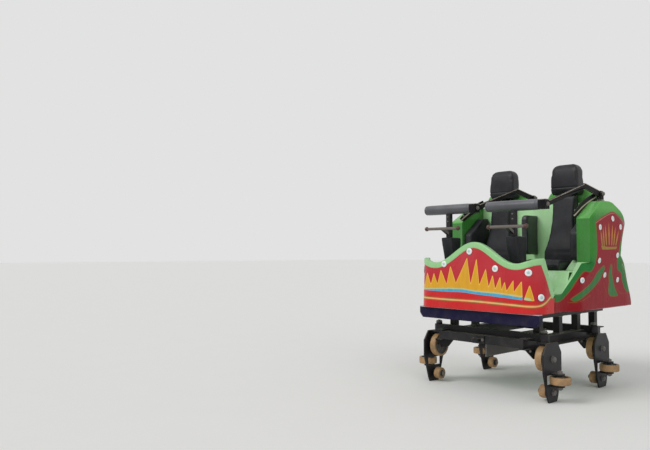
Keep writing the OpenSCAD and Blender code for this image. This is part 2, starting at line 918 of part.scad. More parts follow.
module run_wheel(s, y) {
    color(tan_tread)
        translate([s * rail_x, y, run_z])
            rotate([0, 90, 0])
                wheel(run_r);
}

module guide_wheel(s, y) {
    color(tan_tread)
        translate([s * guide_x, y, rail_z])
            wheel(guide_r);
}

module stop_wheel(s, y) {
    color(tan_tread)
        translate([s * rail_x, y, stop_z])
            rotate([0, 90, 0])
                wheel(stop_r);
}

lower_frame();
upper_frame();
front_beam();
brake_plate();
tow_lug();
rear_coupler();
floor_pan();
front_cowl();
cowl_rim();
side_shell_left();
side_shell_right();
rear_shell();
bench();
seat_pans();
seat_backs();
headrests();
side_bolsters();
centre_bolster();
pivot_brackets();
wing_stays();
arm(1);  // arm_left
padded_roll(1);  // roll_left
handle(1);  // handle_left
lap_pad(1);  // lap_pad_left
arm(-1);  // arm_right
padded_roll(-1);  // roll_right
handle(-1);  // handle_right
lap_pad(-1);  // lap_pad_right
carrier(1, axle_y[0]);  // carrier_fl
carrier(-1, axle_y[0]);  // carrier_fr
carrier(1, axle_y[1]);  // carrier_rl
carrier(-1, axle_y[1]);  // carrier_rr
run_wheel(1, axle_y[0]);  // run_wheel_fl
run_wheel(-1, axle_y[0]);  // run_wheel_fr
run_wheel(1, axle_y[1]);  // run_wheel_rl
run_wheel(-1, axle_y[1]);  // run_wheel_rr
guide_wheel(1, axle_y[0]);  // guide_wheel_fl
guide_wheel(-1, axle_y[0]);  // guide_wheel_fr
guide_wheel(1, axle_y[1]);  // guide_wheel_rl
guide_wheel(-1, axle_y[1]);  // guide_wheel_rr
stop_wheel(1, axle_y[0]);  // stop_wheel_fl
stop_wheel(-1, axle_y[0]);  // stop_wheel_fr
stop_wheel(1, axle_y[1]);  // stop_wheel_rl
stop_wheel(-1, axle_y[1]);  // stop_wheel_rr
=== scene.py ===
# Roller coaster car with one row of two seats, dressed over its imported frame
import bpy
import bmesh
import json
import math
import numpy as np
from mathutils import Matrix, Vector


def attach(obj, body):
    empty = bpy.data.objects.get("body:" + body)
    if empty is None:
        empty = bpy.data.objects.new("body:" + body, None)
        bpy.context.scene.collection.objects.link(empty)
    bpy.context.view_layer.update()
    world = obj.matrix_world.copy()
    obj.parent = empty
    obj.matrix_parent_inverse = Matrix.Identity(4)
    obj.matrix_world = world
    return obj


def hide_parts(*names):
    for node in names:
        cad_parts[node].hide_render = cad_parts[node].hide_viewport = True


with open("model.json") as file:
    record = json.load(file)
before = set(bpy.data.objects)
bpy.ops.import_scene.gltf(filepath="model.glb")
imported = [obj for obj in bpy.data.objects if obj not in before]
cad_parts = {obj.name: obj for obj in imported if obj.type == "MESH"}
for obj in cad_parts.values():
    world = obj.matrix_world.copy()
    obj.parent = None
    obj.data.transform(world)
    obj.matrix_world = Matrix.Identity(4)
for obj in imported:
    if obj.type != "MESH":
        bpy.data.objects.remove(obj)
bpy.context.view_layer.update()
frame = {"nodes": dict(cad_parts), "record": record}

bl_info = {
    "name": "Roller Coaster Car",
    "version": (1, 0, 0),
    "blender": (4, 5, 0),
    "location": "View3D > Sidebar > Coaster Car",
    "description": "Builds the mouldings, seats, restraints and running gear of a two-seat car",
    "category": "Add Mesh",
}

# Sizes in metres. Heights are over the body's foot, and those of the wheels, rails and lug over the ground
BODY_Z = 0.600
FRONT_Y, BENCH_Y, BACK_Y, REAR_Y = -0.700, -0.240, 0.200, 0.650
ENTRY_Y, WING_Y, WING_LEN = -0.470, -0.114, 0.590
WAIST_Y, HUMP_Y = WING_Y + 0.805 * WING_LEN, BACK_Y + 0.050
SILL_Z, WING_FOOT, WAIST_Z = 0.126, 0.345, 0.400
BENCH_H, HEAD_FOOT, HEAD_TOP = 0.286, 0.868, 1.118
WING_TOP, HUMP_TOP, BOX_TOP, FLOOR_T = 0.806, 0.918, 0.360, 0.015
BODY_HALF, FOOT_HALF, WING_HALF, CROWN_HALF = 0.515, 0.575, 0.627, 0.598
SIDE_IN, WALL = 0.503, 0.012
HUMP_Z, DIP_Z, TIP_Z, DIP_X, COWL_R = 0.494, 0.342, 0.378, 0.345, 0.130
COWL_LEAN = math.radians(3)
SEAT_X, HEAD_W, PAN_T, PAN_HALF = 0.280, 0.226, 0.080, 0.1447
HIP_HALF, SHOULDER_HALF, CENTRE_W, BOLSTER_T = 0.155, 0.097, 0.048, 0.070
PIVOT, ROLL = (0.215, 0.864), (-0.587, 0.748)
ARM_X, ARM_T, ROLL_D, ROLL_LEN, TUBE_D, BLOCK_LEN = 0.242, 0.014, 0.076, 0.420, 0.034, 0.040
PAD_TOP, PAD_H, PAD_HALF = 0.535, 0.235, 0.052
AXLE_Y, RAIL_X, GUIDE_X = (-0.500, 0.245), 0.450, 0.5645
RUN_Z, STOP_Z, RAIL_Z, LUG_Z = 0.2895, 0.0655, 0.155, 0.3855
RUN_R, STOP_R, GUIDE_R, WHEEL_W, PIN_D = 0.090, 0.045, 0.070, 0.050, 0.025
CORNERS = {"fl": (1, AXLE_Y[0]), "fr": (-1, AXLE_Y[0]), "rl": (1, AXLE_Y[1]), "rr": (-1, AXLE_Y[1])}
SIDES = {"left": 1, "right": -1}
# Gap between a piece and what it lies against
PLAY = 0.0003

# Outlines, as shares of the way between two corners
EDGE_SHAPE = [(0, 1), (0.2, 0.73), (0.48, 0.45), (0.77, 0.19), (1, 0)]
FLANK_SHAPE = [(0, 0), (0.08, 0.03), (0.28, 0.23), (0.5, 0.45), (0.71, 0.68), (0.9, 0.9), (1, 1)]
WING_SHAPE = [(0, 0.695), (0.03, 0.737), (0.125, 0.808), (0.278, 0.926), (0.36, 0.982), (0.43, 1), (0.58, 1),
              (0.68, 0.975), (0.85, 0.865), (0.94, 0.76), (0.99, 0.675), (0.995, 0.63), (0.93, 0.54),
              (0.86, 0.4), (0.815, 0.25)]
TAIL_SHAPE = [(0, 1), (0.3, 0.84), (0.57, 0.62), (0.84, 0.34), (0.97, 0.14), (1, 0)]
REAR_SHAPE = [(0, 1), (0.02, 0.66), (0.04, 0.5), (0.3, 0.42), (0.57, 0.31), (0.84, 0.17), (0.97, 0.07),
              (1, 0.02)]
HUMP_SHAPE = [(0, 0.03), (0.05, 0.05), (0.11, 0.2), (0.14, 0.5), (0.18, 0.84), (0.25, 0.97), (0.45, 1),
              (0.6, 1), (0.78, 0.92), (0.86, 0.7), (0.94, 0.32), (1, 0)]
HUMP_SIDE = [(0.0, 0.0), (0.0, 0.8), (0.08, 0.97), (0.3, 1.0), (0.66, 0.98), (0.85, 0.66), (0.96, 0.3),
             (1.0, 0.0)]
PAN_SHAPE = [(0, 0), (-0.04, 0.3), (-0.02, 0.62), (0.04, 0.88), (0.16, 1), (1, 0.8), (1, 0)]
BACK_WIDE = [(1, 0), (1, 0.11), (0.9, 0.2), (0.4, 0.38), (0.08, 0.6), (0, 0.76), (-0.02, 1)]
BACK_LEAN = [(0, 0), (0.02, 0.23), (0.4, 0.47), (0.68, 0.71), (1, 1)]
HEAD_WIDE = [(0.9, 0), (1, 0.14), (0.97, 0.55), (0.9, 0.83), (0.74, 0.95), (0.5, 1)]
HEAD_FRONT = [(0.17, 0), (0.05, 0.12), (0, 0.29), (0.03, 0.6), (0.13, 0.86), (0.3, 0.975), (0.5, 1)]
HEAD_BACK = [(1, 0), (1, 0.69), (0.93, 0.86), (0.78, 0.97), (0.5, 1)]
BOLSTER_SHAPE = [(0, 0), (0, 0.56), (0.06, 0.63), (0.55, 0.93), (0.66, 0.99), (0.95, 1), (1, 0.94), (1, 0)]
CENTRE_SHAPE = [(1, 0), (0.14, 0), (0.04, 0.05), (0, 0.12), (0, 0.88), (0.06, 0.97), (0.2, 1), (1, 1)]
PAD_SHAPE = [(0, 1), (0.08, 0.72), (0.24, 0.38), (0.39, 0.08), (0.55, 0), (0.88, 0), (1, 0.09), (1, 0.96),
             (0.92, 1)]


# Curves

def ease(a, b, t):
    """A wave from a to b as t goes from 0 to 1, level at both ends."""
    return a + (b - a) * (1 - math.cos(math.pi * max(0.0, min(1.0, t)))) / 2


def soft_min(a, b, k):
    """The smaller of two values, with a rounded change from one to the other."""
    h = max(k - abs(a - b), 0.0) / k
    return min(a, b) - h * h * k / 4


def lay(table, start, end):
    """A table of shares laid between two corners."""
    return [(start[0] + a * (end[0] - start[0]), start[1] + b * (end[1] - start[1])) for a, b in table]


def up(points):
    """Outline points moved up to the height of the body."""
    return [(a, z + BODY_Z) for a, z in points]


def bend(points, n=6):
    """A smooth curve through points, with n steps from each to the next."""
    p = np.array(points, dtype=float)
    p = np.vstack([p[:1], p, p[-1:]])
    out = []
    for a, b, c, d in zip(p, p[1:], p[2:], p[3:]):
        for t in np.arange(n) / n:
            out.append((2 * b + (c - a) * t + (2 * a - 5 * b + 4 * c - d) * t * t
                        + (3 * b - a - 3 * c + d) * t ** 3) / 2)
    return [tuple(q) for q in out + [p[-1]]]


def along(points, step):
    """The same line with its points evenly spaced."""
    p = np.array(points, dtype=float)
    run = np.concatenate([[0], np.cumsum(np.linalg.norm(np.diff(p, axis=0), axis=1))])
    at = np.linspace(0, run[-1], max(2, int(round(run[-1] / step)) + 1))
    return np.stack([np.interp(at, run, p[:, k]) for k in range(p.shape[1])], axis=1)


def on_line(points, line):
    """Distance of each point from an open line."""
    p, q = np.array(points, dtype=float), np.array(line, dtype=float)
    near = np.full(len(p), np.inf)
    for a, b in zip(q, q[1:]):
        d = b - a
        t = np.clip(((p - a) @ d) / max(float(d @ d), 1e-12), 0, 1)
        near = np.minimum(near, np.linalg.norm(p - a - t[:, None] * d, axis=1))
    return near


def inside_by(points, outline):
    """How far each point lies inside a closed outline, negative outside it."""
    p, q = np.array(points, dtype=float), np.array(outline, dtype=float)
    q = np.vstack([q, q[:1]])
    odd = np.zeros(len(p), dtype=bool)
    for a, b in zip(q, q[1:]):
        if a[1] != b[1]:
            level = (a[1] > p[:, 1]) != (b[1] > p[:, 1])
            odd ^= level & (p[:, 0] < a[0] + (p[:, 1] - a[1]) * (b[0] - a[0]) / (b[1] - a[1]))
    near = on_line(p, q)
    return np.where(odd, near, -near)


# Mesh work

AXES = Matrix.Identity(3)


def adjust(thing, **values):
    """Sets several values of a thing."""
    for key, value in values.items():
        setattr(thing, key, value)
    return thing


def rows(items, key):
    """A three-part value of many mesh items, one to a row."""
    out = np.empty(len(items) * 3)
    items.foreach_get(key, out)
    return out.reshape(-1, 3)


def corners(obj):
    return rows(obj.data.vertices, "co")


def move_corners(obj, co):
    obj.data.vertices.foreach_set("co", co.ravel())


def attribute(obj, name, values):
    layer = obj.data.attributes.new(name, "FLOAT", "POINT")
    layer.data.foreach_set("value", np.asarray(values, dtype=np.float32))


def verts_of(geom):
    return [g for g in geom if isinstance(g, bmesh.types.BMVert)]


def rule(bm, step, *axes):
    """Cuts the whole mesh along evenly spaced planes across each of the axes."""
    for axis in axes:
        reach = [v.co[axis] for v in bm.verts]
        low, high = min(reach), max(reach)
        for k in range(1, int((high - low) / step) + 1):
            bmesh.ops.bisect_plane(bm, geom=bm.verts[:] + bm.edges[:] + bm.faces[:], dist=1e-6,
                                   plane_co=AXES[axis] * (low + k * step), plane_no=AXES[axis])


def slab(bm, outline, axis, low, high):
    """A solid from an outline of (y, z), (x, z) or (x, y), drawn between two places on an axis."""
    ring = [bm.verts.new(Vector(np.insert(np.array(p, dtype=float), axis, low))) for p in outline]
    out = bmesh.ops.extrude_face_region(bm, geom=[bm.faces.new(ring)], use_keep_orig=True)
    bmesh.ops.translate(bm, verts=verts_of(out["geom"]), vec=AXES[axis] * (high - low))


def closed_loop(bm, points):
    """New corners at points, and the edges that join them in a ring."""
    ring = [bm.verts.new(p) for p in points]
    return ring, [bm.edges.new(pair) for pair in zip(ring, ring[1:] + ring[:1])]


def tube(bm, rings, endless=False):
    """A skin through a row of rings, with filled ends unless it runs back into itself."""
    loops = [closed_loop(bm, ring)[1] for ring in rings]
    for a, b in zip(loops, loops[1:] + (loops[:1] if endless else [])):
        bmesh.ops.bridge_loops(bm, edges=a + b)
    if not endless:
        bmesh.ops.holes_fill(bm, edges=loops[0] + loops[-1], sides=0)


def lathe(bm, profile, steps, centre, axis, index=0, start=None):
    """Spins a closed profile of (distance from the axis, place along it) round an axis through centre."""
    a = Vector(axis).normalized()
    out = start or a.orthogonal().normalized()
    known = len(bm.faces)
    ring, edges = closed_loop(bm, [Vector(centre) + out * r + a * h for r, h in profile])
    bmesh.ops.spin(bm, geom=edges + ring, cent=centre, axis=a, angle=2 * math.pi, steps=steps, use_merge=True)
    bm.faces.ensure_lookup_table()
    for f in bm.faces[known:]:
        f.material_index = index


def finish_mesh(name, bm, sharp=35.0, recalc=True):
    """Turns a bmesh into an object with smooth faces and sharp edges over an angle."""
    if recalc:
        bmesh.ops.recalc_face_normals(bm, faces=bm.faces[:])
    for f in bm.faces:
        f.smooth = True
    for e in bm.edges:
        e.smooth = not (e.is_manifold and e.calc_face_angle(0) > math.radians(sharp))
    mesh = bpy.data.meshes.new(name)
    bm.to_mesh(mesh)
    bm.free()
    obj = bpy.data.objects.new(name, mesh)
    bpy.context.scene.collection.objects.link(obj)
    return obj


def modify(obj, kind, **values):
    return adjust(obj.modifiers.new(kind.title(), kind), **values)


def bevel(obj, width, segments=2, angle=30.0):
    modify(obj, "BEVEL", width=width, segments=segments, limit_method="ANGLE",
           angle_limit=math.radians(angle))


def apply_modifiers(obj):
    depsgraph = bpy.context.evaluated_depsgraph_get()
    mesh = bpy.data.meshes.new_from_object(obj.evaluated_get(depsgraph), depsgraph=depsgraph)
    obj.modifiers.clear()
    obj.data = mesh
    for p in mesh.polygons:
        p.use_smooth = True
    return obj


def hang(obj, body, slot, node_name, *finishes):
    """Finishes a piece and hangs it on its body, in place of the CAD node it stands for, if any."""
    for name in finishes:
        obj.data.materials.append(finish(name))
    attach(obj, body)
    if node_name:
        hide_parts(node_name)


# Settings

def colour(text):
    """A colour as it is seen on a screen, as the linear values a shader takes."""
    parts = [int(text[i:i + 2], 16) / 255 for i in (0, 2, 4)]
    return [c / 12.92 if c <= 0.04045 else ((c + 0.055) / 1.055) ** 2.4 for c in parts]


def paint_colour(label, text, note):
    return bpy.props.FloatVectorProperty(name=label, description=note, default=colour(text), size=3, min=0.0,
                                         max=1.0, subtype="COLOR")


def length(label, default, low, high, note):
    return bpy.props.FloatProperty(name=label, description=note, default=default, min=low, max=high,
                                   unit="LENGTH")


class CarShape(bpy.types.PropertyGroup):
    """Sizes of the finish"""
    grid: length("Panel grid", 0.006, 0.004, 0.02, "Size of the cells that the painted panels are made of")
    edge_radius: length("Edge radius", 0.012, 0.002, 0.02, "Rounding of the mouldings' outer edges")
    rim_width: length("Rim width", 0.046, 0.02, 0.08, "Width of the cowl's rolled rim")
    rim_depth: length("Rim depth", 0.040, 0.01, 0.06, "Depth of the rolled rim, towards the riders")
    steel_edge: length("Steel edge", 0.002, 0.0005, 0.005, "Rounding of the steel parts' edges")
    flank_roll: length("Flank roll", 0.055, 0.02, 0.08, "Width of the rolled band beside the way in")
    flank_share: bpy.props.FloatProperty(name="Flank share",
                                         description="Share of the wall that the band takes",
                                         default=0.65, min=0.0, max=0.8, subtype="FACTOR")
    stud: length("Lamp cap", 0.046, 0.02, 0.06, "Width of the lamp caps on the mouldings")
    swell: length("Pad swell", 0.007, 0.0, 0.012, "How far a pad may swell when it is blown up")


class CarPaint(bpy.types.PropertyGroup):
    """Colours of the finish"""
    red: paint_colour("Front red", "be2630", "Red of the cowl")
    low_red: paint_colour("Lower red", "cf2426", "Red of the cowl under the blue stripe")
    # Darker than the front red: painted shade of the sides.
    side_red: paint_colour("Side red", "982029", "Red of the side shells")
    flame: paint_colour("Flames", "e3a928", "Golden flames on the cowl")
    flame_edge: paint_colour("Flame edges", "efc653", "Lighter edge of the flames")
    blue: paint_colour("Blue stripe", "3ea6cf", "Stripe under the flames")
    haze: paint_colour("Stripe haze", "b9cf9a", "Pale line over the blue stripe")
    cream: paint_colour("Cream stripe", "f0b070", "Thin stripe round the foot")
    olive: paint_colour("Olive lines", "8a6c2c", "Thin lines of the ornament")
    rim: paint_colour("Rim green", "9ad090", "Green of the cowl's rim")
    green: paint_colour("Green", "41893a", "Green of the wings' fronts")
    # Lighter than the wings' green: painted light on the tops, which face the sky.
    light_green: paint_colour("Light green", "66b458", "Green of the wings' tops")
    # Border paint, darkened further as painted shade of the lower side.
    shade_green: paint_colour("Border green", "2f7a3c", "Green border of the way in")
    pale_green: paint_colour("Pale green", "b4e6aa", "Green of the bench and the inner walls")
    leaf: paint_colour("Leaf green", "3f7f44", "Swirls on the side shells")
    ray: paint_colour("Rays", "cf8434", "Rays on the wings")
    foam: paint_colour("Covers", "1d1d21", "Black covers of the seats and restraints")
    # Lighter than the other covers: a painted sheen of the sky on the rolls.
    roll: paint_colour("Roll covers", "47484d", "Lighter covers of the restraints' rolls")
    steel: paint_colour("Steel paint", "161619", "Frames, arms and carriers")
    # Also the colour of the painted highlight along the arms' upper edges.
    worn: paint_colour("Worn edges", "cfc2b0", "Bare edges of painted steel")
    bar: paint_colour("Bare bar", "6e6661", "Cross handles")
    plate: paint_colour("Brake plate", "5b5855", "Steel that the brakes rub")
    navy: paint_colour("Navy", "131134", "Beam under the cowl")
    tread: paint_colour("Treads", "b08c60", "Cast treads of the wheels")
    hub: paint_colour("Hubs", "4c4b49", "Wheel hubs")
    cap: paint_colour("Lamp caps", "efeff0", "White lamp caps")
    # A dark ring round the foot of each lamp cap.
    gasket: paint_colour("Dark rings", "6a3038", "Seals round the lamp caps")
    lens: paint_colour("Lenses", "a9d6cd", "Middles of the lamp caps")
    knob: paint_colour("Knobs", "4a231a", "Knobs of the cross handles")
    bolt: paint_colour("Bolts", "6d6b67", "Nuts and bolts")
    floor: paint_colour("Floor", "f4f4f2", "Studio floor")


def shape():
    return bpy.context.scene.coaster_shape


def tone(name):
    """A colour of the settings, as the four values a shader takes."""
    return tuple(getattr(bpy.context.scene.coaster_paint, name)) + (1.0,)


# Shader work

class Wires:
    """Short ways to add nodes to a shader tree. Each gives an output to be used further."""

    def __init__(self, tree):
        self.tree = tree

    def fill(self, inputs, values):
        """Links outputs to a node's inputs, or sets plain values on them."""
        for key, value in values.items():
            if isinstance(value, bpy.types.NodeSocket):
                self.tree.links.new(value, inputs[key])
            else:
                inputs[key].default_value = value

    def add(self, kind, inputs=None, **settings):
        n = adjust(self.tree.nodes.new("ShaderNode" + kind), **settings)
        self.fill(n.inputs, inputs or {})
        return n.outputs

    def group(self, name, inputs):
        return self.add("Group", inputs, node_tree=group_tree(name))

    def maths(self, op, a, b=0.0, clamp=False):
        return self.add("Math", {0: a, 1: b}, operation=op, use_clamp=clamp)[0]

    def times(self, a, b, clamp=False):
        return self.maths("MULTIPLY", a, b, clamp)

    def plus(self, a, b, clamp=False):
        return self.maths("ADD", a, b, clamp)

    def minus(self, a, b, clamp=False):
        return self.maths("SUBTRACT", a, b, clamp)

    def mix(self, share, a, b):
        return self.add("Mix", {0: share, 6: a, 7: b}, data_type="RGBA")[2]

    def ramp(self, value, low, high, to_low=0.0, to_high=1.0):
        """A smooth step of a value between two limits."""
        return self.add("MapRange", {"Value": value, "From Min": low, "From Max": high, "To Min": to_low,
                                     "To Max": to_high}, interpolation_type="SMOOTHSTEP")[0]

    def where(self):
        return self.add("TexCoord")["Object"]

    def height_of(self, vector):
        return self.add("SeparateXYZ", {0: vector})["Z"]

    def rise(self, low, high, to_low=0.0, to_high=1.0):
        """A smooth step between two heights over the body's foot."""
        return self.ramp(self.height_of(self.where()), BODY_Z + low, BODY_Z + high, to_low, to_high)

    def facing_up(self):
        return self.height_of(self.add("TexCoord")["Normal"])

    def noise(self, vector, scale, detail=3.0, rough=0.55, stretch=None):
        if stretch:
            vector = self.add("Mapping", {"Vector": vector, "Scale": stretch})[0]
        return self.add("TexNoise", {"Vector": vector, "Scale": scale, "Detail": detail,
                                     "Roughness": rough})[0]

    def normals(self, radius):
        """The normal rounded over edges by a radius, and the true one."""
        rounded = self.add("Bevel", {"Radius": radius}, samples=6)[0]
        return {0: rounded, 1: self.add("NewGeometry")["Normal"]}

    def edges(self, radius):
        """How near a point is to a sharp edge."""
        same = self.add("VectorMath", self.normals(radius), operation="DOT_PRODUCT")["Value"]
        return self.minus(1.0, same, clamp=True)

    def bump(self, height, strength, distance):
        return self.add("Bump", {"Strength": strength, "Distance": distance, "Height": height})[0]

    def attribute(self, name):
        return self.add("Attribute", attribute_name=name)["Fac"]

    def brushed(self, name, grow=0.0):
        """Mask of a painted shape held in an attribute."""
        inside = self.plus(self.attribute(name), grow)
        return self.group("Brushed edge", {"Inside": inside, "Softness": 0.0014, "Wobble": 0.003})["Mask"]

    def painted(self, base, coats):
        """A base colour under coats of (attribute, growth of its shape, share of the paint, paint)."""
        for name, grow, share, paint in coats:
            base = self.mix(self.times(self.brushed(name, grow), share), base, paint)
        return base


# Colours of wear and dirt; the chalk colour also makes the painted highlight along gelcoat edges
BARE = (0.50, 0.48, 0.45, 1)
FADED = (0.50, 0.48, 0.46, 1)
CHALK_AND_HIGHLIGHT = (0.75, 0.75, 0.68, 1)
SOOT = (0.045, 0.032, 0.022, 1)
DUST = (0.19, 0.165, 0.135, 1)
THIN_RUST = (0.075, 0.038, 0.022, 1)
RUST = (0.17, 0.09, 0.05, 1)


def brushed_edge(w, i):
    """Mask of a brushed shape from how far a point lies inside it, with a slightly unsteady edge."""
    shift = w.times(w.minus(w.noise(w.where(), 22.0), 0.5), i["Wobble"])
    return [w.ramp(w.plus(i["Inside"], shift), w.times(i["Softness"], -1.0), i["Softness"])]


def dulled_gelcoat(w, i):
    """Slightly dulled gelcoat: faded patches, rain streaks, edges paled by rubbing and by a painted
    highlight, and fine orange peel.
    """
    where = w.where()
    patches = w.noise(where, 4.5, 4.0)
    streaks = w.noise(where, 1.0, 4.0, 0.6, (34.0, 34.0, 2.6))
    specks = w.noise(where, 150.0, 2.0)
    peel = w.noise(where, 330.0, 1.0)
    faded = w.mix(w.times(w.ramp(patches, 0.42, 0.72), i["Fading"]), i["Color"],
                  w.mix(0.3, i["Color"], FADED))
    dirt = w.times(w.ramp(streaks, 0.46, 0.78), i["Grime"])
    dirt = w.times(dirt, w.ramp(specks, 0.25, 0.7, 0.5, 1.0), clamp=True)
    dirty = w.mix(w.times(dirt, 0.7), faded, w.mix(0.6, faded, SOOT))
    # Paler along sharp edges: partly rubbed chalky wear, partly a painted highlight.
    edge = w.times(w.ramp(w.edges(0.006), 0.03, 0.3), w.ramp(patches, 0.3, 0.6, 0.15, 0.5))
    rubbed = w.mix(edge, dirty, w.mix(0.45, dirty, CHALK_AND_HIGHLIGHT))
    rough = w.plus(w.ramp(patches, 0.3, 0.75, 0.20, 0.34), w.times(dirt, 0.35))
    return rubbed, rough, w.plus(w.times(peel, 0.35), w.times(patches, 0.6))


def worn_steel(w, i):
    """Painted steel with rubbed edges, rust, grease and dust."""
    where = w.where()
    patches = w.noise(where, 9.0, 5.0, 0.6)
    chips = w.noise(where, 48.0, 3.0, 0.6)
    fine = w.noise(where, 240.0, 2.0)
    rub = w.times(w.ramp(w.edges(i["Reach"]), 0.02, 0.20), i["Wear"])
    bare = w.ramp(w.plus(rub, w.times(chips, 0.5)), 0.72, 0.98)
    rust = w.times(w.ramp(w.plus(w.times(patches, 0.7), w.times(chips, 0.5)), 0.62, 0.82), 0.45)
    paint = w.mix(w.ramp(patches, 0.35, 0.7, 0.0, 0.5), i["Paint"], w.mix(0.05, i["Paint"], BARE))
    paint = w.mix(w.times(rust, 0.5), paint, THIN_RUST)
    dust = w.times(w.ramp(w.facing_up(), 0.15, 0.95), w.ramp(patches, 0.3, 0.65, 0.3, 1.0))
    dust = w.times(dust, i["Dust"], clamp=True)
    paint = w.mix(dust, paint, DUST)
    out = w.mix(bare, paint, w.mix(w.times(rust, 0.6), BARE, RUST))
    rough = w.plus(w.ramp(patches, 0.3, 0.7, 0.36, 0.55), w.times(dust, 0.4))
    rough = w.mix(bare, rough, (0.34, 0.34, 0.34, 1))
    return out, rough, w.plus(w.times(fine, 0.25), w.times(bare, -0.5)), w.times(bare, 0.75)


def skin_foam(w, i):
    """Moulded skin foam: fine grain, rubbed sheen, and a tint on upward faces that is dust on the seats and a
    painted sheen on the rolls.
    """
    where = w.where()
    cells = w.add("TexVoronoi", {"Vector": where, "Scale": 420.0, "Smoothness": 0.6}, feature="SMOOTH_F1")
    patches = w.noise(where, 6.0, 5.0, 0.6)
    scuff = w.noise(where, 40.0, 4.0, 0.65)
    # Upward faces take the dust and sheen tint: dust on the seats, a painted sheen on the rolls.
    dust = w.times(w.ramp(w.facing_up(), -0.2, 1.0), w.ramp(patches, 0.3, 0.7, 0.25, 1.0))
    dust = w.times(dust, i["Dust"], clamp=True)
    pale = w.mix(0.10, i["Color"], (0.35, 0.36, 0.38, 1))
    tint = w.mix(w.ramp(patches, 0.35, 0.7, 0.0, 0.5), i["Color"], pale)
    tint = w.mix(w.times(dust, 0.5), tint, i["Bloom"])
    tint = w.mix(w.ramp(scuff, 0.66, 0.8, 0.0, 0.25), tint, (0.12, 0.12, 0.12, 1))
    rough = w.plus(w.ramp(patches, 0.3, 0.7, 0.36, 0.52), w.times(dust, 0.2))
    return tint, rough, w.plus(cells["Distance"], w.times(scuff, 0.4))


def cast_tread(w, i):
    """Cast tread: scuffed, with grit pressed in."""
    where = w.where()
    patches = w.noise(where, 16.0, 5.0, 0.65)
    grit = w.noise(where, 190.0, 3.0, 0.7)
    dark = w.mix(0.8, i["Color"], (0.045, 0.033, 0.022, 1))
    tint = w.mix(w.times(w.ramp(patches, 0.38, 0.68), 0.55), i["Color"], dark)
    tint = w.mix(w.ramp(grit, 0.6, 0.75, 0.0, 0.4), tint, (0.05, 0.04, 0.03, 1))
    return tint, w.ramp(patches, 0.3, 0.7, 0.42, 0.65), grit


# Shader groups: how each is made, its inputs and its outputs
GREY = (0.5, 0.5, 0.5, 1)
LOOK = ("Color", "Roughness", "Height")
GROUPS = {
    "Brushed edge": (brushed_edge, {"Inside": 0.0, "Softness": 0.0015, "Wobble": 0.003}, ("Mask",)),
    "Dulled gelcoat": (dulled_gelcoat, {"Color": GREY, "Grime": 0.3, "Fading": 0.3}, LOOK),
    "Worn painted steel": (worn_steel, {"Paint": GREY, "Wear": 0.5, "Reach": 0.004, "Dust": 0.4},
                           LOOK + ("Metallic",)),
    "Skin foam": (skin_foam, {"Color": GREY, "Dust": 0.3, "Bloom": GREY}, LOOK),
    "Cast tread": (cast_tread, {"Color": GREY}, LOOK),
}


def group_tree(name):
    """A shader group by its name, made when it is first asked for."""
    if name in bpy.data.node_groups:
        return bpy.data.node_groups[name]
    build, inputs, outputs = GROUPS[name]
    tree = bpy.data.node_groups.new(name, "ShaderNodeTree")
    for label, default in inputs.items():
        kind = "NodeSocketColor" if isinstance(default, tuple) else "NodeSocketFloat"
        tree.interface.new_socket(label, in_out="INPUT", socket_type=kind).default_value = default
    for label in outputs:
        kind = "NodeSocketColor" if label == "Color" else "NodeSocketFloat"
        tree.interface.new_socket(label, in_out="OUTPUT", socket_type=kind)
    made = build(Wires(tree), tree.nodes.new("NodeGroupInput").outputs)
    Wires(tree).fill(tree.nodes.new("NodeGroupOutput").inputs, dict(zip(outputs, made)))
    return tree


# Finishes

def gelcoat(w, shader, paint, grime, fading, coat=0.12, gloss=0.3):
    look = w.group("Dulled gelcoat", {"Color": paint, "Grime": grime, "Fading": fading})
    w.fill(shader, {"Base Color": look["Color"], "Roughness": look["Roughness"], "Specular IOR Level": gloss,
                    "Coat Weight": coat, "Coat Roughness": 0.08,
                    "Normal": w.bump(look["Height"], 0.18, 0.0012)})


def steel(w, shader, paint, wear, dust, reach=0.004, gloss=0.3):
    look = w.group("Worn painted steel", {"Paint": paint, "Wear": wear, "Dust": dust, "Reach": reach})
    w.fill(shader, {"Base Color": look["Color"], "Metallic": look["Metallic"], "Roughness": look["Roughness"],
                    "Specular IOR Level": gloss, "Normal": w.bump(look["Height"], 0.25, 0.0008)})


def tread_rubber(w, shader, paint):
    look = w.group("Cast tread", {"Color": paint})
    w.fill(shader, {"Base Color": look["Color"], "Roughness": look["Roughness"],
                    "Normal": w.bump(look["Height"], 0.3, 0.0006)})


def plain(w, shader, paint, rough, coat=0.0, grain=90.0, spread=0.12):
    """A small part's finish: one colour with slight variation and a dulled gloss."""
    n = w.noise(w.where(), grain, 4.0, 0.6)
    tint = w.mix(w.ramp(n, 0.35, 0.75, 0.0, spread), paint, (0.09, 0.08, 0.07, 1))
    w.fill(shader, {"Base Color": tint,
                    "Roughness": w.ramp(n, 0.3, 0.7, rough * 0.85, min(1.0, rough * 1.25)),
                    "Coat Weight": coat, "Normal": w.bump(n, 0.12, 0.0005)})


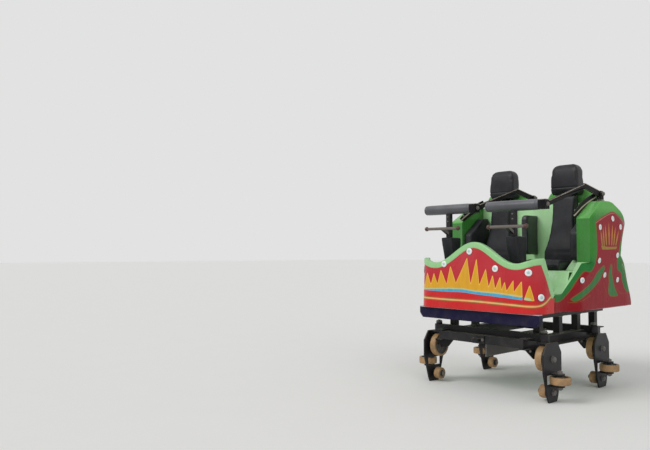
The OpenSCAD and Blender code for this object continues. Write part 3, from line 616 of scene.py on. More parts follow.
def cover(w, shader, paint, gloss=0.05, dust=0.12, bloom=(0.12, 0.12, 0.125, 1), sheen=0.25):
    """Skin foam with a parting line where the attribute seam is 0."""
    seam = w.maths("ABSOLUTE", w.attribute("seam"))
    line = w.ramp(seam, 0.0004, 0.0018, 1.0, 0.0)
    near = w.times(w.ramp(seam, 0.001, 0.010, 1.0, 0.0), 0.35)
    look = w.group("Skin foam", {"Color": paint, "Dust": dust, "Bloom": bloom})
    rubbed = w.mix(near, look["Color"], (0.055, 0.055, 0.06, 1))
    height = w.minus(w.times(look["Height"], 0.4), w.times(line, 3.0))
    w.fill(shader, {"Base Color": w.mix(line, rubbed, (0.006, 0.006, 0.007, 1)),
                    "Roughness": look["Roughness"],
                    "Specular IOR Level": sheen, "Coat Weight": gloss, "Coat Roughness": 0.3,
                    "Normal": w.bump(height, 0.25, 0.0008)})


def studio_floor(w, shader, paint):
    share = w.ramp(w.noise(w.where(), 3.0), 0.3, 0.7, 0.0, 0.25)
    w.fill(shader, {"Base Color": w.mix(share, paint, w.mix(0.06, paint, GREY)), "Roughness": 0.85})


def front_paint(w):
    """Red cowl with its flames, the blue stripe and the cream line round its foot."""
    base = w.mix(w.ramp(w.attribute("low"), -0.002, 0.002), tone("red"), tone("low_red"))
    # Paler pink towards the rim, broken by noise: a painted reflection of the sky.
    sheen = w.times(w.rise(0.12, 0.42, 0.0, 0.3), w.noise(w.where(), 7.0), clamp=True)
    strokes = w.noise(w.where(), 1.0, 4.0, 0.6, (70.0, 70.0, 7.0))
    gold = w.mix(w.ramp(strokes, 0.35, 0.7, 0.0, 0.55), tone("flame"),
                 w.mix(0.65, tone("flame"), (0.60, 0.27, 0.03, 1)))
    blue = w.mix(w.ramp(strokes, 0.35, 0.7, 0.0, 0.35), tone("blue"),
                 w.mix(0.4, tone("blue"), (0.4, 0.75, 0.8, 1)))
    return w.painted(w.mix(sheen, base, (0.66, 0.14, 0.17, 1)), [
        ("flames", 0.0, 1.0, tone("flame_edge")), ("flames", -0.0035, 1.0, gold),
        ("haze", 0.0, 1.0, tone("haze")),
        ("blue", 0.0, 1.0, blue), ("cream", 0.006, 1.0, tone("olive")), ("cream", 0.0, 1.0, tone("cream"))])


def side_paint(w):
    """Side shell: green border, red field, green swirls and the rays on the wing; painted shade darkens the
    lower green and makes the red darker than the front's, and painted light makes the top green lighter.
    """
    # Darker green below: partly the border's paint, partly painted shade on the lower side.
    base = w.mix(w.rise(0.32, 0.42), tone("shade_green"), tone("green"))
    strokes = w.noise(w.where(), 1.0, 4.0, 0.6, (9.0, 26.0, 9.0))
    red = w.mix(w.rise(0.05, 0.45, 0.4, 0.0), tone("side_red"),
                w.mix(0.5, tone("side_red"), (0.22, 0.012, 0.014, 1)))
    leaf = w.mix(w.ramp(strokes, 0.3, 0.7, 0.0, 0.6), tone("leaf"),
                 w.mix(0.5, tone("leaf"), (0.03, 0.12, 0.04, 1)))
    ray = w.mix(w.rise(0.45, 0.60), w.mix(0.45, tone("ray"), tone("leaf")), tone("ray"))
    # Lighter green towards the top: painted light.
    return w.painted(w.mix(w.rise(0.66, 0.76), base, tone("light_green")), [
        ("red", 0.0, 1.0, w.mix(0.5, tone("olive"), tone("side_red"))), ("red", -0.005, 1.0, red),
        ("trim", 0.0, 0.75, (0.62, 0.26, 0.22, 1)), ("leaf", 0.005, 0.75, tone("olive")),
        ("leaf", 0.0, 1.0, leaf),
        ("vein", 0.0, 0.6, (0.33, 0.52, 0.26, 1)), ("fine", 0.0, 0.7, tone("olive")),
        ("rays", 0.0, 1.0, ray)])


def rubbed_arm(w):
    """Black paint, pale along the edges that look up: rubbed wear, and a painted highlight of the light from
    above.
    """
    lift = w.height_of(w.add("VectorMath", w.normals(0.009), operation="SUBTRACT")[0])
    worn = w.times(w.ramp(lift, 0.05, 0.22), w.ramp(w.noise(w.where(), 14.0), 0.3, 0.5, 0.5, 1.0))
    return w.mix(worn, tone("steel"), tone("worn"))


def rubbed_stay(w):
    """Black paint, rubbed pale along the line that the attribute rub gives."""
    return w.mix(w.brushed("rub"), tone("steel"), tone("worn"))


def lipped_navy(w):
    """Navy with a pale grey line along the top edge."""
    return w.mix(w.rise(-0.0065, -0.0045), tone("navy"), (0.42, 0.42, 0.44, 1))


FINISHES = {
    # Gelcoats: colour or how it is painted, grime, fading, coat, gloss
    "painted front gelcoat": (gelcoat, front_paint, 0.28, 0.10, 0.08, 0.20),
    "painted side gelcoat": (gelcoat, side_paint, 0.42, 0.10, 0.0, 0.06),
    "rim gelcoat": (gelcoat, "rim", 0.25, 0.25),
    "wing gelcoat": (gelcoat, "green", 0.45, 0.25),
    # The wings' green made lighter on the tops: painted light.
    "wing top gelcoat": (gelcoat, "light_green", 0.25, 0.25),
    "inner gelcoat": (gelcoat, "pale_green", 0.40, 0.30),
    "pale gelcoat": (gelcoat, "pale_green", 0.30, 0.30),
    "trodden gelcoat": (gelcoat, "pale_green", 0.90, 0.40),
    # Steels: colour or how it is painted, wear, dust, reach of the wear, gloss
    "frame paint": (steel, "steel", 0.35, 0.50),
    "arm paint": (steel, rubbed_arm, 0.35, 0.05, 0.003, 0.06),
    "stay paint": (steel, rubbed_stay, 0.30, 0.10, 0.003, 0.10),
    "navy paint": (steel, lipped_navy, 0.25, 0.05, 0.004, 0.12),
    "bare bar": (steel, "bar", 0.60, 0.10),
    "rubbed plate": (steel, "plate", 0.80, 0.20, 0.010),
    "bolt finish": (steel, "bolt", 0.50, 0.35, 0.002),
    "hub finish": (steel, "hub", 0.60, 0.30, 0.003),
    # Small parts: colour, roughness, coat, grain, spread of the colour
    "cap gasket": (plain, "gasket", 0.70),
    "white cap": (plain, "cap", 0.22, 0.5, 60.0, 0.05),
    "cap lens": (plain, "lens", 0.15, 0.6, 200.0, 0.08),
    "knob": (plain, "knob", 0.35, 0.3),
    # Covers: colour, gloss, dust on upward faces, tint of that dust, sheen; on the rolls the dust and its
    # tint are a painted sheen
    "seat cover": (cover, "foam"),
    "glossy cover": (cover, "foam", 0.6),
    "lap pad cover": (cover, "foam", 0.05, 0.02, (0.12, 0.12, 0.125, 1), 0.12),
    # Lighter colour and a strong pale tint on upward faces: a painted sheen along the rolls' tops.
    "roll cover": (cover, "roll", 0.4, 1.0, (0.30, 0.30, 0.32, 1), 0.4),
    "cast tread": (tread_rubber, "tread"),
    "studio floor": (studio_floor, "floor"),
}


def finish(name):
    """A material of the table of finishes, made when it is first asked for."""
    if name not in bpy.data.materials:
        build, paint, *numbers = FINISHES[name]
        m = bpy.data.materials.new(name)
        m.use_nodes = True
        w = Wires(m.node_tree)
        paint = tone(paint) if isinstance(paint, str) else paint(w)
        build(w, m.node_tree.nodes["Principled BSDF"].inputs, paint, *numbers)
    return bpy.data.materials[name]


# Where the body's surfaces lie

COWL_FLAT = BODY_HALF - COWL_R
COWL_ARC = COWL_R * math.pi / 2
COWL_END = COWL_FLAT + COWL_ARC + (ENTRY_Y - FRONT_Y - 0.0066 - COWL_R)


def edge_height(x):
    """Height of the cowl's wavy edge across the car."""
    a = abs(x)
    if a < DIP_X:
        return ease(HUMP_Z, DIP_Z, a / DIP_X)
    return ease(DIP_Z, TIP_Z, (a - DIP_X) / (BODY_HALF - DIP_X))


def cowl_point(s, z, depth=0.0):
    """A point of the cowl, from the distance round its front, its height, and the depth under its skin."""
    a = abs(s)
    if a < COWL_FLAT:
        x, d, nx, ny = a, 0.0, 0.0, -1.0
    elif a < COWL_FLAT + COWL_ARC:
        t = (a - COWL_FLAT) / COWL_R
        nx, ny = math.sin(t), -math.cos(t)
        x, d = COWL_FLAT + COWL_R * nx, COWL_R * (1 + ny)
    else:
        x, d, nx, ny = BODY_HALF, COWL_R + a - COWL_FLAT - COWL_ARC, 1.0, 0.0
    x -= nx * depth
    d -= ny * depth
    h = (z + d * math.sin(COWL_LEAN)) / math.cos(COWL_LEAN)
    y = FRONT_Y + d * math.cos(COWL_LEAN) + h * math.sin(COWL_LEAN)
    return Vector((math.copysign(x, s), min(y, ENTRY_Y), z + BODY_Z))


def cowl_edge(s, down):
    """Height of the cowl's edge, lowered by a depth, at a distance round the front."""
    curve = bend(lay(EDGE_SHAPE, (ENTRY_Y - 0.120 - down, SILL_Z - down / 3),
                     (ENTRY_Y - down, TIP_Z + 0.022 - down / 3)), 3)
    ys, zs = zip(*curve, (ENTRY_Y, SILL_Z - down))
    z = 0.3
    for _ in range(4):
        p = cowl_point(s, z)
        z = edge_height(p.x) - down
        if p.y > ys[0]:
            z = min(z, np.interp(p.y, ys, zs))
    return z


def side_x(y, z):
    """Half width of the body at a side shell: the lesser of what its height and its place allow."""
    swell_z, full_z, crown_z, tail = 0.120, 0.480, 0.620, 0.330
    if z < crown_z:
        section = ease(FOOT_HALF, WING_HALF, (z - swell_z) / (full_z - swell_z))
    else:
        section = ease(WING_HALF, CROWN_HALF, (z - crown_z) / (WING_TOP + 0.024 - crown_z))
    start = ENTRY_Y + 0.060
    plan = ease(BODY_HALF, WING_HALF, (y - start) / (WING_Y + 0.084 - start))
    if y > REAR_Y - tail:
        plan = ease(WING_HALF, FOOT_HALF, (y - REAR_Y + tail) / tail)
    return soft_min(section, plan, 0.016)


def side_surface(y, z):
    return Vector((side_x(y, z), y, z + BODY_Z))


def facing(surface, a, b, e=0.004):
    """The way a surface looks at a place, from the points beside it."""
    return (surface(a + e, b) - surface(a - e, b)).cross(surface(a, b + e) - surface(a, b - e)).normalized()


def flank_line():
    """The sloping edge of the way in, seen from the side."""
    return bend(lay(FLANK_SHAPE, (ENTRY_Y + 0.095, SILL_Z), (WING_Y, WING_FOOT)))


def side_outline():
    wing = bend(lay(WING_SHAPE, (WING_Y, WING_FOOT), (WING_Y + WING_LEN, WING_TOP)))
    wing = [(y, min(z, WING_TOP)) for y, z in wing]
    tail = bend(lay(TAIL_SHAPE, (WAIST_Y, 0), (REAR_Y, WAIST_Z)))
    return [(ENTRY_Y, 0.0), (ENTRY_Y, SILL_Z + 0.006), (ENTRY_Y + 0.020, SILL_Z)] + flank_line() + wing + tail


# Mouldings

# Painted shapes of the front, as (distance round the front, height over its foot)
FLAMES = [(-0.520, 0.130), (-0.520, 0.160), (-0.501, 0.209), (-0.460, 0.162), (-0.421, 0.266),
          (-0.380, 0.175), (-0.354, 0.262), (-0.317, 0.178), (-0.289, 0.290), (-0.232, 0.181),
          (-0.201, 0.321), (-0.148, 0.191), (-0.053, 0.382), (-0.018, 0.189), (0.029, 0.381), (0.057, 0.184),
          (0.109, 0.304), (0.135, 0.173), (0.167, 0.263), (0.189, 0.162), (0.228, 0.254), (0.240, 0.157),
          (0.264, 0.220), (0.280, 0.152), (0.332, 0.229), (0.336, 0.147), (0.396, 0.225), (0.403, 0.112),
          (0.221, 0.127), (0.022, 0.134), (-0.082, 0.146), (-0.217, 0.144)]
LAST_FLAME = [(0.413, 0.098), (0.449, 0.202), (0.483, 0.090), (0.450, 0.093)]
BLUE_TOP = [(-0.530, 0.130), (-0.217, 0.145), (-0.082, 0.147), (0.022, 0.136), (0.221, 0.128), (0.403, 0.112)]
BLUE_FOOT = [(0.403, 0.094), (0.222, 0.106), (0.023, 0.117), (-0.082, 0.125), (-0.217, 0.124),
             (-0.530, 0.127)]
LOW_END = [(0.483, 0.086), (0.540, 0.076), (0.700, 0.110)]
HAZE_LINE = [(-0.530, 0.133), (-0.217, 0.149), (-0.082, 0.151), (0.022, 0.140), (0.221, 0.134),
             (0.400, 0.120)]
LAST_HAZE = [(0.413, 0.098), (0.418, 0.116), (0.455, 0.108), (0.470, 0.092), (0.450, 0.092)]
CREAM_LINE = [(-0.680, 0.074), (-0.501, 0.070), (-0.215, 0.066), (0.024, 0.066), (0.317, 0.058),
              (0.428, 0.054), (0.486, 0.054), (0.528, 0.060), (0.569, 0.078), (0.614, 0.104), (0.640, 0.116)]
COWL_STUDS = [(-0.600, 0.118), (-0.501, 0.283), (-0.259, 0.331), (-0.034, 0.426), (0.186, 0.304),
              (0.440, 0.281), (0.528, 0.114)]

# Painted shapes of a side, as (place along the car, height over its foot)
SIDE_RED = [(-0.540, -0.03), (-0.540, 0.118), (-0.498, 0.090), (-0.455, 0.079), (-0.406, 0.080),
            (-0.364, 0.094), (-0.318, 0.128), (-0.281, 0.161), (-0.247, 0.201), (-0.205, 0.243),
            (-0.168, 0.278), (-0.148, 0.287), (-0.126, 0.280), (-0.093, 0.285), (-0.066, 0.309),
            (-0.052, 0.350), (-0.047, 0.400), (-0.047, 0.460), (-0.050, 0.530), (-0.055, 0.590),
            (-0.060, 0.644)]
SIDE_CROWN = [(-0.060, 0.644), (0.022, 0.673), (0.118, 0.702), (0.244, 0.728), (0.330, 0.700), (0.420, 0.655),
              (0.450, 0.640)]
SIDE_TAIL = [(0.450, 0.640), (0.416, 0.598), (0.369, 0.535), (0.340, 0.487), (0.317, 0.432), (0.298, 0.395),
             (0.304, 0.345), (0.341, 0.289), (0.396, 0.272), (0.432, 0.246), (0.456, 0.204), (0.500, 0.154),
             (0.540, 0.120), (0.607, 0.105), (0.680, 0.100), (0.680, -0.03)]
# Each leaf has two edges, one there and one back
LONG_LEAF = ([(0.092, 0.320), (0.066, 0.310), (0.007, 0.269), (-0.032, 0.224), (-0.091, 0.184),
              (-0.167, 0.152), (-0.228, 0.125), (-0.290, 0.088)],
             [(-0.265, 0.076), (-0.229, 0.081), (-0.181, 0.101), (-0.098, 0.130), (-0.031, 0.159),
              (0.033, 0.196), (0.078, 0.234), (0.116, 0.300)])
SHORT_LEAF = ([(0.204, 0.330), (0.205, 0.285), (0.206, 0.251), (0.228, 0.203), (0.231, 0.163), (0.228, 0.130),
               (0.252, 0.096), (0.325, 0.086)],
              [(0.387, 0.089), (0.365, 0.117), (0.324, 0.160), (0.287, 0.215), (0.252, 0.264),
               (0.230, 0.320)])
TAIL_LEAF = ([(0.400, 0.345), (0.452, 0.330), (0.508, 0.290), (0.566, 0.232), (0.604, 0.170)],
             [(0.590, 0.158), (0.552, 0.186), (0.500, 0.232), (0.446, 0.278), (0.402, 0.312)])
FINE_LINES = [[(0.262, 0.330), (0.282, 0.283), (0.292, 0.229), (0.330, 0.173), (0.389, 0.130), (0.468, 0.100),
               (0.560, 0.103)],
              [(0.145, 0.190), (0.156, 0.166), (0.187, 0.131), (0.206, 0.090)],
              [(-0.320, 0.070), (-0.250, 0.066), (-0.160, 0.082), (-0.060, 0.112)]]
RAY_FOOT = [(0.015, 0.468), (0.125, 0.460), (0.284, 0.463), (0.264, 0.444), (0.126, 0.440), (0.034, 0.440)]
# Rays as (foot, tip)
RAYS = [((0.037, 0.464), (0.012, 0.590)), ((0.066, 0.466), (0.050, 0.615)), ((0.103, 0.471), (0.088, 0.640)),
        ((0.148, 0.474), (0.147, 0.650)), ((0.190, 0.472), (0.212, 0.640)), ((0.223, 0.472), (0.262, 0.622)),
        ((0.258, 0.472), (0.318, 0.592))]
RAY_WIDE = 0.022
SIDE_STUDS = [(0.217, 0.672), (0.002, 0.603), (0.344, 0.613), (0.000, 0.360), (0.292, 0.398), (-0.195, 0.221),
              (0.133, 0.252), (0.367, 0.210)]


def spear(foot, tip):
    """A narrow ray: round at its foot and pointed at its tip."""
    a, b = np.array(foot), np.array(tip)
    d = (b - a) / np.linalg.norm(b - a)
    n = np.array((-d[1], d[0])) * RAY_WIDE / 2
    return [a - n * 0.7, a + (b - a) * 0.45 - n, b, a + (b - a) * 0.45 + n, a + n * 0.7]


def in_any(points, outlines):
    return np.max([inside_by(points, outline) for outline in outlines], axis=0)


def stripe(points, half_width, *lines):
    """How far each point lies inside a stripe along any of the lines."""
    return half_width - np.min([on_line(points, line) for line in lines], axis=0)


class CAR_OT_front_cowl(bpy.types.Operator):
    """Front cowl: a painted panel wrapped round the front of the body"""
    bl_idname = "coaster_car.front_cowl"
    bl_label = "Front cowl"

    def execute(self, context):
        bm = bmesh.new()
        top = [(s, cowl_edge(s, shape().rim_width * 0.5)) for s in np.linspace(-COWL_END, COWL_END, 161)]
        bm.faces.new([bm.verts.new((s, z, 0)) for s, z in [(-COWL_END, 0.0), (COWL_END, 0.0)] + top[::-1]])
        rule(bm, shape().grid, 0, 1)
        flat = np.array([v.co.xy for v in bm.verts])
        for v in bm.verts:
            v.co = cowl_point(v.co.x, v.co.y)
        obj = finish_mesh("front_cowl_panel", bm)
        attribute(obj, "low", np.interp(flat[:, 0], *zip(*(BLUE_FOOT[::-1] + LOW_END))) - flat[:, 1])
        attribute(obj, "flames", in_any(flat, (FLAMES, LAST_FLAME)))
        attribute(obj, "blue", inside_by(flat, bend(BLUE_TOP, 4) + bend(BLUE_FOOT, 4)))
        haze = stripe(flat, 0.0035, bend(HAZE_LINE, 4))
        attribute(obj, "haze", np.maximum(haze, inside_by(flat, LAST_HAZE)))
        attribute(obj, "cream", stripe(flat, 0.0060, bend(CREAM_LINE, 4)))
        modify(obj, "SOLIDIFY", thickness=WALL, offset=-1, material_offset=1, material_offset_rim=1)
        hang(obj, "root", "red_moulding", "front_cowl", "painted front gelcoat", "inner gelcoat")
        return {"FINISHED"}


class CAR_OT_cowl_rim(bpy.types.Operator):
    """Rolled rim along the cowl's wavy edge"""
    bl_idname = "coaster_car.cowl_rim"
    bl_label = "Cowl rim"

    def execute(self, context):
        wide, deep, proud, r = shape().rim_width, shape().rim_depth, 0.004, 0.009
        line = along([(s, cowl_edge(s, 0.0)) for s in np.linspace(-COWL_END, COWL_END, 241)], 0.010)
        way = np.gradient(line, axis=0)
        way /= np.linalg.norm(way, axis=1)[:, None]
        for _ in range(3):
            way[1:-1] = (way[:-2] + 2 * way[1:-1] + way[2:]) / 4
        section = []
        for ca, cb, start in ((wide - r, r, -90), (wide - r, deep - r, 0), (r, deep - r, 90), (r, r, 180)):
            for t in np.radians(start + 22.5 * np.arange(5)):
                section.append((ca + r * math.cos(t), cb + r * math.sin(t)))
        bm = bmesh.new()
        tube(bm, [[cowl_point(s + dz * a, z - ds * a, b - proud) for a, b in section]
                  for (s, z), (ds, dz) in zip(line, way)])
        hang(finish_mesh("cowl_rim_roll", bm), "root", "green_moulding", "cowl_rim", "rim gelcoat")
        return {"FINISHED"}


# Materials of a side shell, in their order on the piece
PAINTED, WING, INNER, PALE_LIT_FLANK, LIT_WING_TOP = range(5)


def side_material(f):
    """Which material a face of a flat side shell takes: its inner face lies at -1 and its skin at 0."""
    depths = [v.co.x for v in f.verts]
    y, z = f.calc_center_median().yz
    if max(depths) < -0.5:
        return INNER if z < WING_FOOT else WING
    if min(depths) > -0.5:
        return PAINTED
    # Flank faces of the way in take the pale green: painted light, as they face up to the sky.
    if z < WING_FOOT + 0.004 and y < WING_Y + 0.02:
        return PALE_LIT_FLANK
    # Walls that face up take the lighter top green: painted light.
    return LIT_WING_TOP if abs(f.normal.z) > 0.45 and z > 0.5 else WING


class CAR_OT_side_shells(bpy.types.Operator):
    """Side shells with the way in and the tall wing beside each rider"""
    bl_idname = "coaster_car.side_shells"
    bl_label = "Side shells"

    def execute(self, context):
        r = shape().edge_radius
        outline = side_outline()
        rays = [spear(foot, tip) for foot, tip in RAYS] + [RAY_FOOT]
        leaves = [bend(there, 5) + bend(back, 5) for there, back in (LONG_LEAF, SHORT_LEAF, TAIL_LEAF)]
        red = bend(SIDE_RED, 3) + bend(SIDE_CROWN, 3) + bend(SIDE_TAIL, 3)
        there, back = along(bend(TAIL_LEAF[0], 4), 0.02), along(bend(TAIL_LEAF[1][::-1], 4), 0.02)
        vein = [(p + q) / 2 for p, q in zip(there, back)]
        for name, side in SIDES.items():
            bm = bmesh.new()
            face = bm.faces.new([bm.verts.new((0.0, y, z)) for y, z in outline])
            face.normal_update()
            if face.normal.x < 0:
                bmesh.ops.reverse_faces(bm, faces=[face])
            wall = bmesh.ops.extrude_edge_only(bm, edges=list(face.edges))
            bmesh.ops.translate(bm, verts=verts_of(wall["geom"]), vec=(-1, 0, 0))
            bmesh.ops.inset_individual(bm, faces=[face], thickness=r, depth=0.0, use_even_offset=True)
            rule(bm, shape().grid, 1, 2)
            bmesh.ops.holes_fill(bm, edges=[e for e in bm.edges if e.is_boundary], sides=0)
            flat = np.array([v.co.yz for v in bm.verts])
            deep = np.clip(inside_by(flat, outline), 0, r)
            rounding = r - np.sqrt(np.maximum(0.0, r * r - (r - deep) ** 2))
            near = np.clip(1 - on_line(flat, flank_line()) / shape().flank_roll, 0, 1)
            under_wing = np.clip((WING_FOOT + 0.006 - flat[:, 1]) / 0.010, 0, 1)
            drawn = shape().flank_share * (1 - np.sqrt(1 - near ** 2)) * under_wing
            for f in bm.faces:
                f.material_index = side_material(f)
            for v, edge, roll in zip(bm.verts, rounding, drawn):
                skin = side_x(v.co.y, v.co.z)
                v.co.x = side * (SIDE_IN if v.co.x < -0.5 else skin - max(edge, roll * (skin - SIDE_IN)))
                v.co.z += BODY_Z
            obj = finish_mesh("side_shell_" + name + "_moulding", bm)
            attribute(obj, "red", inside_by(flat, red))
            attribute(obj, "leaf", in_any(flat, leaves))
            attribute(obj, "vein", stripe(flat, 0.004, vein))
            attribute(obj, "rays", in_any(flat, rays))
            attribute(obj, "fine", stripe(flat, 0.0026, *[bend(line, 4) for line in FINE_LINES]))
            attribute(obj, "trim", stripe(flat, 0.0030, [(y, z - 0.012) for y, z in bend(SIDE_CROWN, 3)]))
            hang(obj, "root", "red_moulding", "side_shell_" + name, "painted side gelcoat", "wing gelcoat",
                 "inner gelcoat", "pale gelcoat", "wing top gelcoat")
        return {"FINISHED"}


class CAR_OT_rear_shell(bpy.types.Operator):
    """Closed rear of the body, with a hump behind each headrest"""
    bl_idname = "coaster_car.rear_shell"
    bl_label = "Rear shell"

    def execute(self, context):
        slope = bend(lay(REAR_SHAPE, (WAIST_Y - WALL, 0), (REAR_Y - WALL, WING_TOP)), 3)
        slope = [p for p in slope if FLOOR_T + 0.004 < p[1] < WING_TOP - 0.002] + [(REAR_Y - WALL, FLOOR_T)]
        hump = list(zip(*bend(lay(HUMP_SHAPE, (0, 0), (CROWN_HALF, HUMP_TOP - WING_TOP)), 4)))
        start, depth = HUMP_Y + 0.001, WAIST_Y - WALL - HUMP_Y - 0.002
        front = [(BACK_Y, FLOOR_T), (BACK_Y, WING_TOP - 0.008), (BACK_Y + 0.003, WING_TOP - 0.002),
                 (BACK_Y + 0.008, WING_TOP)]
        rings = []
        for x in np.linspace(-SIDE_IN, SIDE_IN, 97):
            rise = np.interp(abs(x), *hump)
            rise = max(0.003, rise * min(1.0, ease(0.35, 1.0, (SIDE_IN - abs(x)) / 0.03)))
            over = [(start + a * depth, WING_TOP + rise * min(b, 1.0)) for a, b in bend(HUMP_SIDE, 4)]
            rings.append([(x, y, z) for y, z in up(front + over + slope)])
        bm = bmesh.new()
        tube(bm, rings)
        bmesh.ops.recalc_face_normals(bm, faces=bm.faces[:])
        for f in bm.faces:
            f.normal_update()
            at = f.calc_center_median()
            if f.normal.y < -0.7 and at.y < BACK_Y + 0.01:
                f.material_index = 1
            # Faces on top take the lighter top green: painted light.
            elif at.z > BODY_Z + WING_TOP - 0.004:
                f.material_index = 2
        obj = finish_mesh("rear_shell_moulding", bm, 40, recalc=False)
        hang(obj, "root", "green_moulding", "rear_shell", "wing gelcoat", "pale gelcoat", "wing top gelcoat")
        return {"FINISHED"}


def lamp_cap(bm, at, out, wide):
    """A lamp cap: a dark ring at its foot, a white dome, and a lens in its middle."""
    r = wide / 2
    seal = r + 0.0018
    gasket = [(r * 0.8, -0.004), (seal, -0.004), (seal, 0.0012), (r * 0.8, 0.0016)]
    dome = [(r * 0.4, -0.002), (r, -0.002), (r, 0.0022), (r * 0.9, 0.0046), (r * 0.72, 0.0062),
            (r * 0.46, 0.0068), (r * 0.4, 0.0050)]
    lens = [(0.0, -0.001), (r * 0.42, -0.001), (r * 0.42, 0.0056), (r * 0.26, 0.0074), (0.0, 0.0080)]
    for index, profile in enumerate((gasket, dome, lens)):
        lathe(bm, profile, 28, at, out, index)


class CAR_OT_lamp_caps(bpy.types.Operator):
    """Round lamp caps along the mouldings"""
    bl_idname = "coaster_car.lamp_caps"
    bl_label = "Lamp caps"

    def execute(self, context):
        pieces = {"front_lamp_caps": (cowl_point, COWL_STUDS, 1, 1.06)}
        for name, side in SIDES.items():
            pieces["side_lamp_caps_" + name] = (side_surface, SIDE_STUDS, side, 0.94)
        for name, (surface, studs, side, share) in pieces.items():
            across = Vector((side, 1, 1))
            bm = bmesh.new()
            for a, b in studs:
                lamp_cap(bm, surface(a, b) * across, facing(surface, a, b) * across, shape().stud * share)
            bmesh.ops.remove_doubles(bm, verts=bm.verts[:], dist=1e-5)
            hang(finish_mesh(name, bm, 50), "root", "pale_green_moulding", None, "cap gasket", "white cap",
                 "cap lens")
        return {"FINISHED"}


def dressed_copy(name, node_name, width, sharp=32.0):
    """A merged copy of a CAD node, with rounded edges."""
    bm = bmesh.new()
    bm.from_mesh(frame["nodes"][node_name].data)
    bmesh.ops.remove_doubles(bm, verts=bm.verts[:], dist=2e-5)
    bmesh.ops.dissolve_limit(bm, angle_limit=math.radians(0.5), verts=bm.verts[:], edges=bm.edges[:])
    obj = finish_mesh(name, bm, sharp, recalc=False)
    bevel(obj, width, 2, sharp)
    return obj


class CAR_OT_bench(bpy.types.Operator):
    """Bench with its boxes, and the floor"""
    bl_idname = "coaster_car.bench"
    bl_label = "Bench and floor"

    def execute(self, context):
        for node_name, rounding, look in (("bench", 0.005, "pale gelcoat"),
                                          ("floor_pan", 0.004, "trodden gelcoat")):
            obj = dressed_copy(node_name + "_moulding", node_name, rounding)
            hang(obj, "root", "pale_green_moulding", node_name, look)
        return {"FINISHED"}


# Steelwork

# Finishes of the steel nodes, by how their names begin
STEELS = {
    "arm_": ["arm paint"], "pivot_brackets": ["arm paint"], "handle_": ["frame paint", "bare bar", "knob"],
    "front_beam": ["navy paint"], "brake_plate": ["rubbed plate"], "lower_frame": ["frame paint"],
    "upper_frame": ["frame paint"], "tow_lug": ["frame paint"], "rear_coupler": ["frame paint"],
    "carrier_": ["frame paint"],
}
HANDLE_HALF, KNOB_HALF = 0.146, 0.019


class CAR_OT_steelwork(bpy.types.Operator):
    """Frames, couplers, brackets, restraint arms and wheel carriers"""
    bl_idname = "coaster_car.steelwork"
    bl_label = "Steelwork"

    def execute(self, context):
        for body, nodes in frame["record"]["behaviour"]["bodies"].items():
            for n in nodes:
                finishes = next((looks for start, looks in STEELS.items() if n.startswith(start)), None)
                if not finishes:
                    continue
                obj = dressed_copy(n + "_steel", n, shape().steel_edge)
                if n.startswith("handle_"):
                    middle = SEAT_X * SIDES[n.split("_")[1]]
                    for p in obj.data.polygons:
                        x, y, _ = p.center
                        if abs(abs(x - middle) - HANDLE_HALF) < KNOB_HALF and y < ROLL[0] - 0.060:
                            p.material_index = 2
                        elif y < ROLL[0] - 0.078:
                            p.material_index = 1
                hang(obj, body, "navy_paint" if n == "front_beam" else "dark_steel", n, *finishes)
        return {"FINISHED"}


# Stays on the wings' inner faces, along their top edges
STAY_FOOT, STAY_HEAD, STAY_BOW, STAY_STEPS = (-0.136, 0.684), (0.205, 0.836), 0.012, 16
STAY_WIDE, STAY_DROP, STAY_T, STAY_RUB = 0.040, 0.024, 0.008, 0.005


def stay_point(share, over):
    """A point of a stay: a share of the way from foot to head, and its height over the wing's edge."""
    foot, reach = np.array(STAY_FOOT), np.subtract(STAY_HEAD, STAY_FOOT)
    square = np.array((-reach[1], reach[0])) / np.linalg.norm(reach)
    return foot + reach * share + square * (over + STAY_BOW * math.sin(math.pi * share))


class CAR_OT_wing_stays(bpy.types.Operator):
    """Flat stays from the pivots down along the wings' top edges"""
    bl_idname = "coaster_car.wing_stays"
    bl_label = "Wing stays"

    def execute(self, context):
        steps = range(STAY_STEPS + 1)
        low = [stay_point(k / STAY_STEPS, -STAY_DROP * min(1.0, k / 2)) for k in steps]
        high = [stay_point(k / STAY_STEPS, STAY_WIDE * (0.55 + 0.45 * min(1.0, k / 5))) for k in steps]
        bm = bmesh.new()
        for side in (-1, 1):
            slab(bm, up(low + high[::-1]), 0, *sorted((side * (SIDE_IN - STAY_T), side * (SIDE_IN - PLAY))))
        rule(bm, 0.006, 1, 2)
        obj = finish_mesh("wing_stays_steel", bm, 30)
        bevel(obj, 0.0015)
        apply_modifiers(obj)
        line = up(stay_point(k / STAY_STEPS, STAY_RUB) for k in steps)
        attribute(obj, "rub", stripe(corners(obj)[:, 1:], STAY_RUB, line))
        hang(obj, "root", "dark_steel", "wing_stays", "stay paint")
        return {"FINISHED"}


WASHER_T = 0.0018


